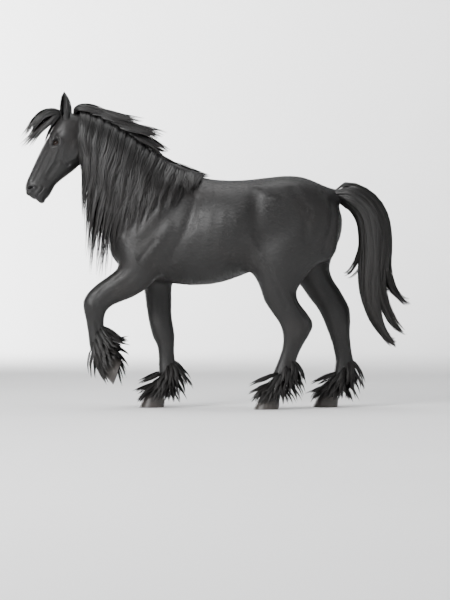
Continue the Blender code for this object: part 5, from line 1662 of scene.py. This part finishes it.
@dataclass
class Eye:
    """One eye: the ball with its iris, and the lids that hold it."""

    side: Side
    radius: float = 0.0225
    slit: tuple = (0.0235, 0.0150)
    # The lids' rows from the rim outwards: times the slit, rise, and share on the skin, not the ball.
    profile: tuple = (
        (0.86, -0.0040, 0.0), (0.95, 0.0002, 0.0), (1.00, 0.0024, 0.0), (1.10, 0.0034, 0.0),
        (1.22, 0.0036, 0.05), (1.36, 0.0020, 0.25), (1.50, 0.0030, 0.50), (1.75, 0.0022, 0.80),
        (2.05, 0.0010, 0.95), (2.40, -0.0012, 1.0),
    )
    lash_count: int = 46

    @property
    def centre(self) -> Array:
        """The ball's middle."""
        along, deep, y = HEAD_AXES.eye
        return HEAD_AXES.at(along, deep, y * self.side.value) + SHIFT

    @property
    def axes(self) -> tuple[Array, Array, Array]:
        """The ways out of the eye, along its slit towards the nose, and up."""
        out = unit(np.array([-0.16, self.side.value, 0.10]))
        along = HEAD_AXES.down * 0.94 - HEAD_AXES.back * 0.34
        along = unit(along - out * (along @ out))
        up = unit(np.cross(out, along))
        return out, along, up * np.sign(up[2])

    def ball(self) -> Piece:
        """The eyeball: a sphere in polar angle and turn, its front bulged 4 % by the cornea."""
        out, along, up = self.axes
        tilt, turn = np.linspace(0.02, math.pi - 0.02, 26)[:, None], np.arange(40)[None] * math.pi / 20
        bulge = 1 + 0.04 * np.exp(-((tilt / 0.62) ** 2))
        a, b = np.sin(tilt) * np.cos(turn), np.sin(tilt) * np.sin(turn)
        rings = np.cos(tilt)[..., None] * out + a[..., None] * along + b[..., None] * up
        rings = rings * bulge[..., None]
        points, faces = closed_tube(self.centre + rings * self.radius)
        piece = made_piece("eyeball_" + self.side.name.lower(), points, faces)
        mesh = piece.data
        away = (points_of(mesh) - self.centre) / self.radius
        lay_map(mesh, "Front", np.stack([away @ along, away @ up], 1) * 0.5 + 0.5)
        mesh.materials.append(WetEye().material())
        return piece

    def lids(self, flesh: Flesh) -> Piece:
        """The lids: a band round the slit, from inside its rim, over a rounded edge and a fold, to the skin.

        Each row of the band is an almond, larger row by row. The first rows lie on a ball a little larger
        than the eye, the last lie just under the skin, and those between pass from one to the other.
        """
        out, along, up = self.axes
        turn = np.arange(48) * 2 * math.pi / 48
        almond = powered(np.cos(turn), 0.9)
        tall = np.sin(turn) * (1 - 0.25 * np.cos(turn) ** 2) * np.where(np.sin(turn) > 0, 1.12, 0.88)
        rows = []
        for grow, rise, blend in self.profile:
            flat = along * (almond * self.slit[0] * grow)[:, None]
            flat = flat + up * (tall * self.slit[1] * grow)[:, None]
            high = np.sqrt(np.maximum(self.radius**2 - (flat**2).sum(1), (0.35 * self.radius) ** 2))
            on_ball = self.centre + flat + out * (high + rise)[:, None]
            on_skin = flesh.moved(self.centre + flat + out * 0.030, max(rise, -0.0012), "ON_SURFACE")
            rows.append(on_ball * (1 - blend) + on_skin * blend)
        rings = np.array(rows)
        piece = made_piece("lids_" + self.side.name.lower(), rings.reshape(-1, 3), grid_faces(len(rows), 48))
        shell = piece.modifiers.new("thick", "SOLIDIFY")
        shell.thickness = 0.0012
        shell.offset = -1
        apply_modifiers(piece)
        piece.data.shade_smooth()
        return piece

    def lashes(self, draw: Draw, strands: Strands) -> None:
        """Lashes along the upper lid: each leaves the rim outwards and curves up."""
        out, along, up = self.axes
        number = self.lash_count
        turn = np.linspace(0.35, math.pi - 0.25, number) + draw.normal(0, 0.02, number)
        flat = along * (np.cos(turn) * self.slit[0])[:, None]
        flat = flat + up * (np.sin(turn) * self.slit[1] * 1.1)[:, None]
        high = np.sqrt(np.maximum(self.radius**2 - (flat**2).sum(1), 0)) + 0.0030
        root = self.centre + flat + out * high[:, None]
        t = np.linspace(0, 1, 6)[None, :, None]
        long = 0.017 * draw.uniform(0.7, 1.1, number)[:, None, None]
        lines = root[:, None] + (out * t + up * t**2 * 0.5 - HEAD_AXES.down * t * 0.1) * long
        strands.add(lines, np.broadcast_to(up, lines.shape), np.full(number, 0.0011))


@dataclass
class Ear:
    """One ear: a pricked cup of thin gristle, open to the front and outer side."""

    side: Side
    long: float = 0.172
    outline: tuple = (
        (-0.26, 0.024), (0.0, 0.033), (0.22, 0.040), (0.45, 0.040), (0.66, 0.033), (0.84, 0.021),
        (0.96, 0.009), (1.02, 0.003),
    )
    hairs: int = 240
    # How far the cup opens, in degrees to each side, by the share of the ear's length.
    mouth: tuple = ((-0.26, 4), (0.02, 10), (0.14, 34), (0.35, 56), (0.60, 60), (0.85, 50), (1.02, 30))

    @property
    def axes(self) -> tuple[Array, Array, Array]:
        """The ways up the ear, out of its opening, and across."""
        up = unit(np.array([-0.010, 0.012 * self.side.value, 1.0]))
        opening = np.array([-0.72, 0.69 * self.side.value, 0])
        opening = unit(opening - up * (opening @ up))
        return up, opening, np.cross(up, opening)

    def ring(self, share: Array) -> tuple[Array, Array]:
        """The ear's middle and half width at each share of its length."""
        up, opening, _ = self.axes
        base = HEAD_AXES.at(0.030, 0.040, 0.056 * self.side.value) + SHIFT
        rows = np.array(self.outline)
        half = np.interp(share, rows[:, 0], rows[:, 1])
        hook = -0.020 * self.side.value * np.maximum(share, 0) ** 2
        middle = base + up * (self.long * share)[:, None] + opening * (0.012 * share**2)[:, None]
        middle[:, 1] += hook
        return middle, half

    def build(self) -> Piece:
        """The ear's shell: round the outside from one rim to the other, and back along the inside."""
        _, opening, across = self.axes
        rows = flowing(np.array(self.outline)[:, :1], 6)[:, 0]
        middle, half = self.ring(rows)
        gape = np.radians(np.interp(rows, *np.array(self.mouth).T))
        outer = np.linspace(0, 1, 30)[None]
        turn = gape[:, None] + (2 * math.pi - 2 * gape[:, None]) * outer
        thick = np.minimum(0.0035, half * 0.30)[:, None]
        inner_turn = turn[:, ::-1]
        flare = 1 + 0.10 * np.exp(-((np.minimum(turn, 2 * math.pi - turn) - gape[:, None]) / 0.35) ** 2)
        outside = np.stack([np.cos(turn) * 0.82, np.sin(turn)], -1) * (half[:, None] * flare)[..., None]
        shrunk = (half[:, None] * flare)[:, ::-1] - thick
        inside = np.stack([np.cos(inner_turn) * 0.82, np.sin(inner_turn)], -1) * shrunk[..., None]
        ring = np.concatenate([outside, inside], 1)
        rings = middle[:, None] + ring[..., :1] * opening + ring[..., 1:] * across
        points, faces = closed_tube(rings)
        piece = made_piece("ear_shell_" + self.side.name.lower(), points, faces)
        piece.data.materials.append(SKIN_COAT.material())
        return piece

    def fringe(self, draw: Draw, strands: Strands) -> None:
        """Hair in the cup: it grows from both rims and the bottom, across the opening and up."""
        up, opening, across = self.axes
        number = self.hairs
        share = draw.uniform(0.10, 0.70, number)
        middle, half = self.ring(share)
        gape = np.radians(np.interp(share, *np.array(self.mouth).T))
        turn = draw.choice([-1, 1], number) * (gape + draw.uniform(0.0, 0.5, number))
        out = opening * (np.cos(turn) * 0.82)[:, None] + across * np.sin(turn)[:, None]
        root = middle + out * (half * 0.93)[:, None]
        t = np.linspace(0, 1, 6)[None, :, None]
        way = unit(opening * 0.5 + up * 0.9 - out * 0.45)[:, None]
        long = (0.018 + 0.016 * draw.uniform(size=number))[:, None, None]
        lines = root[:, None] + way * t * long + up * t**2 * long * 0.3
        strands.add(lines, np.broadcast_to(out[:, None], lines.shape), np.full(number, 0.0022))


@dataclass
class Hoof:
    """One hoof: its wall slopes from the coronet to the ground, with a hollow sole and a frog."""

    limb: Limb
    long: float = 0.175
    wide: float = 0.150
    sides: int = 64
    boxy: float = 2.3
    # The coronet band: times the wall's top, and rise over it.
    band: tuple = ((0.80, 0.012), (0.95, 0.006))
    # The sole's rings inwards from the rim: share of the ground outline, and how far it dips.
    sole: tuple = ((0.93, 0.0), (0.88, 0.0), (0.84, 0.005), (0.70, 0.009), (0.45, 0.009), (0.2, 0.008))

    def build(self) -> Piece:
        """The hoof's rings: coronet band, wall, rim, sole.

        Each ring of the wall lies between the coronet's oval and the ground's, with a slight dish at the
        middle. Inside the rim the sole dips, and the frog stands up along its heel half.
        """
        foot = FEET[self.limb]
        angle = np.arange(self.sides) * 2 * math.pi / self.sides
        along, across = powered(np.cos(angle), 2 / self.boxy), powered(np.sin(angle), 2 / self.boxy)
        narrow = 1 - 0.10 * np.clip(-along, 0, 1)
        front, rear = foot.at(*foot.coronet[0]), foot.at(*foot.coronet[1])
        arm, middle = (front - rear) / 2, (front + rear) / 2
        lip = middle + along[:, None] * arm + (across * 0.062)[:, None] * SIDEWAYS
        ground = foot.at(0, 0) + (along * self.long / 2)[:, None] * foot.ahead
        ground = ground + (across * self.wide / 2 * narrow)[:, None] * SIDEWAYS
        heel = np.exp(-(((along + 1) / 0.35) ** 2))[:, None]
        rings = [middle + (lip - middle) * grow + foot.up * rise for grow, rise in self.band]
        for share in np.linspace(0, 1, 15):
            bulge = 1 + 0.045 * np.exp(-((share / 0.10) ** 2)) - 0.018 * math.sin(math.pi * share)
            ring = lip * (1 - share) + ground * share
            core = middle * (1 - share) + foot.at(0, 0) * share
            ring = core + (ring - core) * bulge
            rings.append(ring + heel * -foot.ahead * 0.006 * math.sin(math.pi * share))
        rings[-1] = ground
        for share, height in self.sole:
            a, c = along * self.long / 2 * share, across * self.wide / 2 * narrow * share
            frog = smooth(0.030, 0.008, np.abs(c) - 0.25 * np.clip(-a, 0, 1)) * smooth(0.03, -0.01, a)
            lifted = height - 0.007 * frog * (height > 0)
            ring = foot.at(0, 0) + a[:, None] * foot.ahead + c[:, None] * SIDEWAYS
            rings.append(ring + lifted[:, None] * foot.up)
        rings = np.array(rings) + SHIFT
        points, faces = closed_tube(rings)
        piece = made_piece("hoof_wall_" + self.limb.value, points, faces, 55)
        self.unwrap(piece, len(rings))
        piece.data.materials.append(HoofHorn().material())
        return piece

    def unwrap(self, piece: Piece, rings: int) -> None:
        """Lays the wall flat: U once round the hoof, mirrored at its toe, and V down it."""
        number = np.arange(rings * self.sides + 2)
        u = np.abs(2 * (number % self.sides) / self.sides - 1)
        v = np.minimum(number // self.sides, rings) / rings
        lay_map(piece.data, "Wall", np.stack([u, v], 1))


@dataclass
class Studio:
    """A round room of seamless paper, soft lights and a long lens, level with the horse's elbow."""

    ground: float = -0.0005
    flat: float = 16.0
    curve: float = 8.0
    far: float = 14.0
    scale: float = 0.006926
    mark: float = 215.5
    sole_line: float = 408.0
    air: float = 0.58
    # A broad key from the upper left, a weaker fill, a top light, and one each for the wall and the floor:
    # name, place, aim, size, power.
    lamps: tuple = (
        ("key", (-5.5, -7.0, 6.5), (0.0, 0.0, 1.1), 4.5, 860.0),
        ("fill", (6.5, -6.5, 3.0), (0.0, 0.0, 1.0), 4.0, 70.0),
        ("top", (-0.5, 0.5, 6.5), (-0.3, 0.3, 1.0), 5.0, 230.0),
        ("paper light", (-11.0, 11.0, 7.5), (-9.5, 22.0, 3.0), 5.0, 11000.0),
        ("floor light", (-6.5, -9.0, 4.5), (-4.5, -9.0, 0.0), 4.0, 900.0),
    )

    def build(self) -> None:
        """Makes the sweep, the lights and the camera."""
        self.sweep()
        self.lights()
        self.camera()

    def sweep(self) -> None:
        """A round floor, carried up a quarter circle into a wall on every side of the camera's way round."""
        bend = np.linspace(0, math.pi / 2, 24)[:, None]
        turn = np.arange(96)[None] * math.pi / 48
        reach = np.vstack([[[1.0], [8.0]], self.flat + self.curve * np.sin(bend)])
        height = np.vstack([[[0.0], [0.0]], self.curve * (1 - np.cos(bend))]) + self.ground
        points = np.stack([reach * np.cos(turn), reach * np.sin(turn), height + 0 * turn], -1)
        faces = [*grid_faces(*points.shape[:2]).tolist(), list(range(points.shape[1]))]
        paper = made_piece("paper_sweep", points.reshape(-1, 3), faces)
        paper.data.flip_normals()
        paper.data.materials.append(StudioPaper().material())

    def lights(self) -> None:
        """Sets the lamps, and the air that fills the shadows."""
        for name, place, aim, size, power in self.lamps:
            data = bpy.data.lights.new(name, "AREA")
            data.shape = "DISK"
            data.size = size
            data.energy = power
            light = put(name, data)
            light.location = place
            light.rotation_euler = (Vector(aim) - Vector(place)).to_track_quat("-Z", "Y").to_euler()
        world = bpy.data.worlds.new("studio air")
        world.use_nodes = True
        air = world.node_tree.nodes["Background"]
        air.inputs["Color"].default_value = linear("f2f3f5")
        air.inputs["Strength"].default_value = self.air
        bpy.context.scene.world = world

    def camera(self) -> None:
        """A level camera that gives the photograph's framing: 600 rows of the picture are 4.16 m."""
        data = bpy.data.cameras.new("long lens")
        data.sensor_fit = "AUTO"
        data.sensor_width = 36.0
        data.lens = 36.0 * self.far / (600 * self.scale)
        data.clip_end = 200.0
        camera = put("long lens", data)
        x = (225 - self.mark) * self.scale + SHIFT[0]
        camera.location = (x, -self.far, (self.sole_line - 300) * self.scale)
        camera.rotation_euler = (math.pi / 2, 0, 0)
        bpy.context.scene.camera = camera


@dataclass
class Horse:
    """The whole animal, built part by part and set on the solids it stands for."""

    seed: int = 11
    flesh_nodes: tuple = ("torso", "neck", "head")

    def finish(self, piece: Piece, *nodes: str) -> None:
        """Rides a piece on the one body and names the solids it stands for."""
        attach(piece, "root")
        if nodes:
            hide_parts(*nodes)
        log.info("%s stands for %s", piece.name, ", ".join(nodes) or "nothing of its own")

    def skin(self) -> Flesh:
        """Makes the skin and marks on it where the coat's lie changes and where it is bare."""
        flesh = Flesh()
        skin = flesh.build()
        points = points_of(skin.data) - SHIFT
        _, shares = ShortCoat().lie(points)
        lie = skin.data.attributes.new("lie", "FLOAT_COLOR", "POINT")
        colour = np.concatenate([shares, np.ones((len(points), 1))], 1)
        lie.data.foreach_set("color", colour.astype(np.float32).ravel())
        bare = skin.data.attributes.new("bare", "FLOAT", "POINT")
        bare.data.foreach_set("value", Muzzle().bare(points).astype(np.float32))
        skin.data.materials.append(SKIN_COAT.material())
        legs = [f"{limb.value}_{part}" for limb in Limb for part in ("upper", "lower")]
        log.info("skin: %d faces", len(skin.data.polygons))
        self.finish(skin, *self.flesh_nodes, *legs)
        return flesh

    def build(self) -> None:
        """Makes every piece in order."""
        draw = np.random.default_rng(self.seed)
        flesh = self.skin()
        locks = Locks(flesh, draw)
        for piece in Mane().build(locks):
            self.finish(piece, "neck")
        self.finish(Forelock().build(locks), "head")
        for piece in Tail().build(locks):
            self.finish(piece, "tail_root", "tail_fall")
        for limb in Limb:
            self.finish(Feather(limb).build(Locks(flesh, draw, 8)), limb.value + "_lower")
        for piece in ShortCoat().build(flesh, draw):
            self.finish(piece, "torso")
        face = Strands("face_hair", BODY_HAIR)
        for side in Side:
            self.head_parts(side, flesh, draw, face)
        self.finish(face.build(draw, "coat"), "head")
        for limb in Limb:
            hoof = Hoof(limb).build()
            self.finish(hoof, "hoof_" + limb.value)

    def head_parts(self, side: Side, flesh: Flesh, draw: Draw, face: Strands) -> None:
        """Makes one side's eye, lids, lashes and ear."""
        name = side.name.lower()
        eye = Eye(side)
        ball = eye.ball()
        self.finish(ball, "eye_" + name)
        lids = eye.lids(flesh)
        lids.data.materials.append(SKIN_COAT.material())
        self.finish(lids, "head")
        eye.lashes(draw, face)
        ear = Ear(side)
        shell = ear.build()
        self.finish(shell, "ear_" + name)
        ear.fringe(draw, face)


def main() -> None:
    """Builds the horse and the studio."""
    logging.basicConfig(level=logging.INFO, format="%(message)s")
    Horse().build()
    Studio().build()


if __name__ == "__main__":
    main()
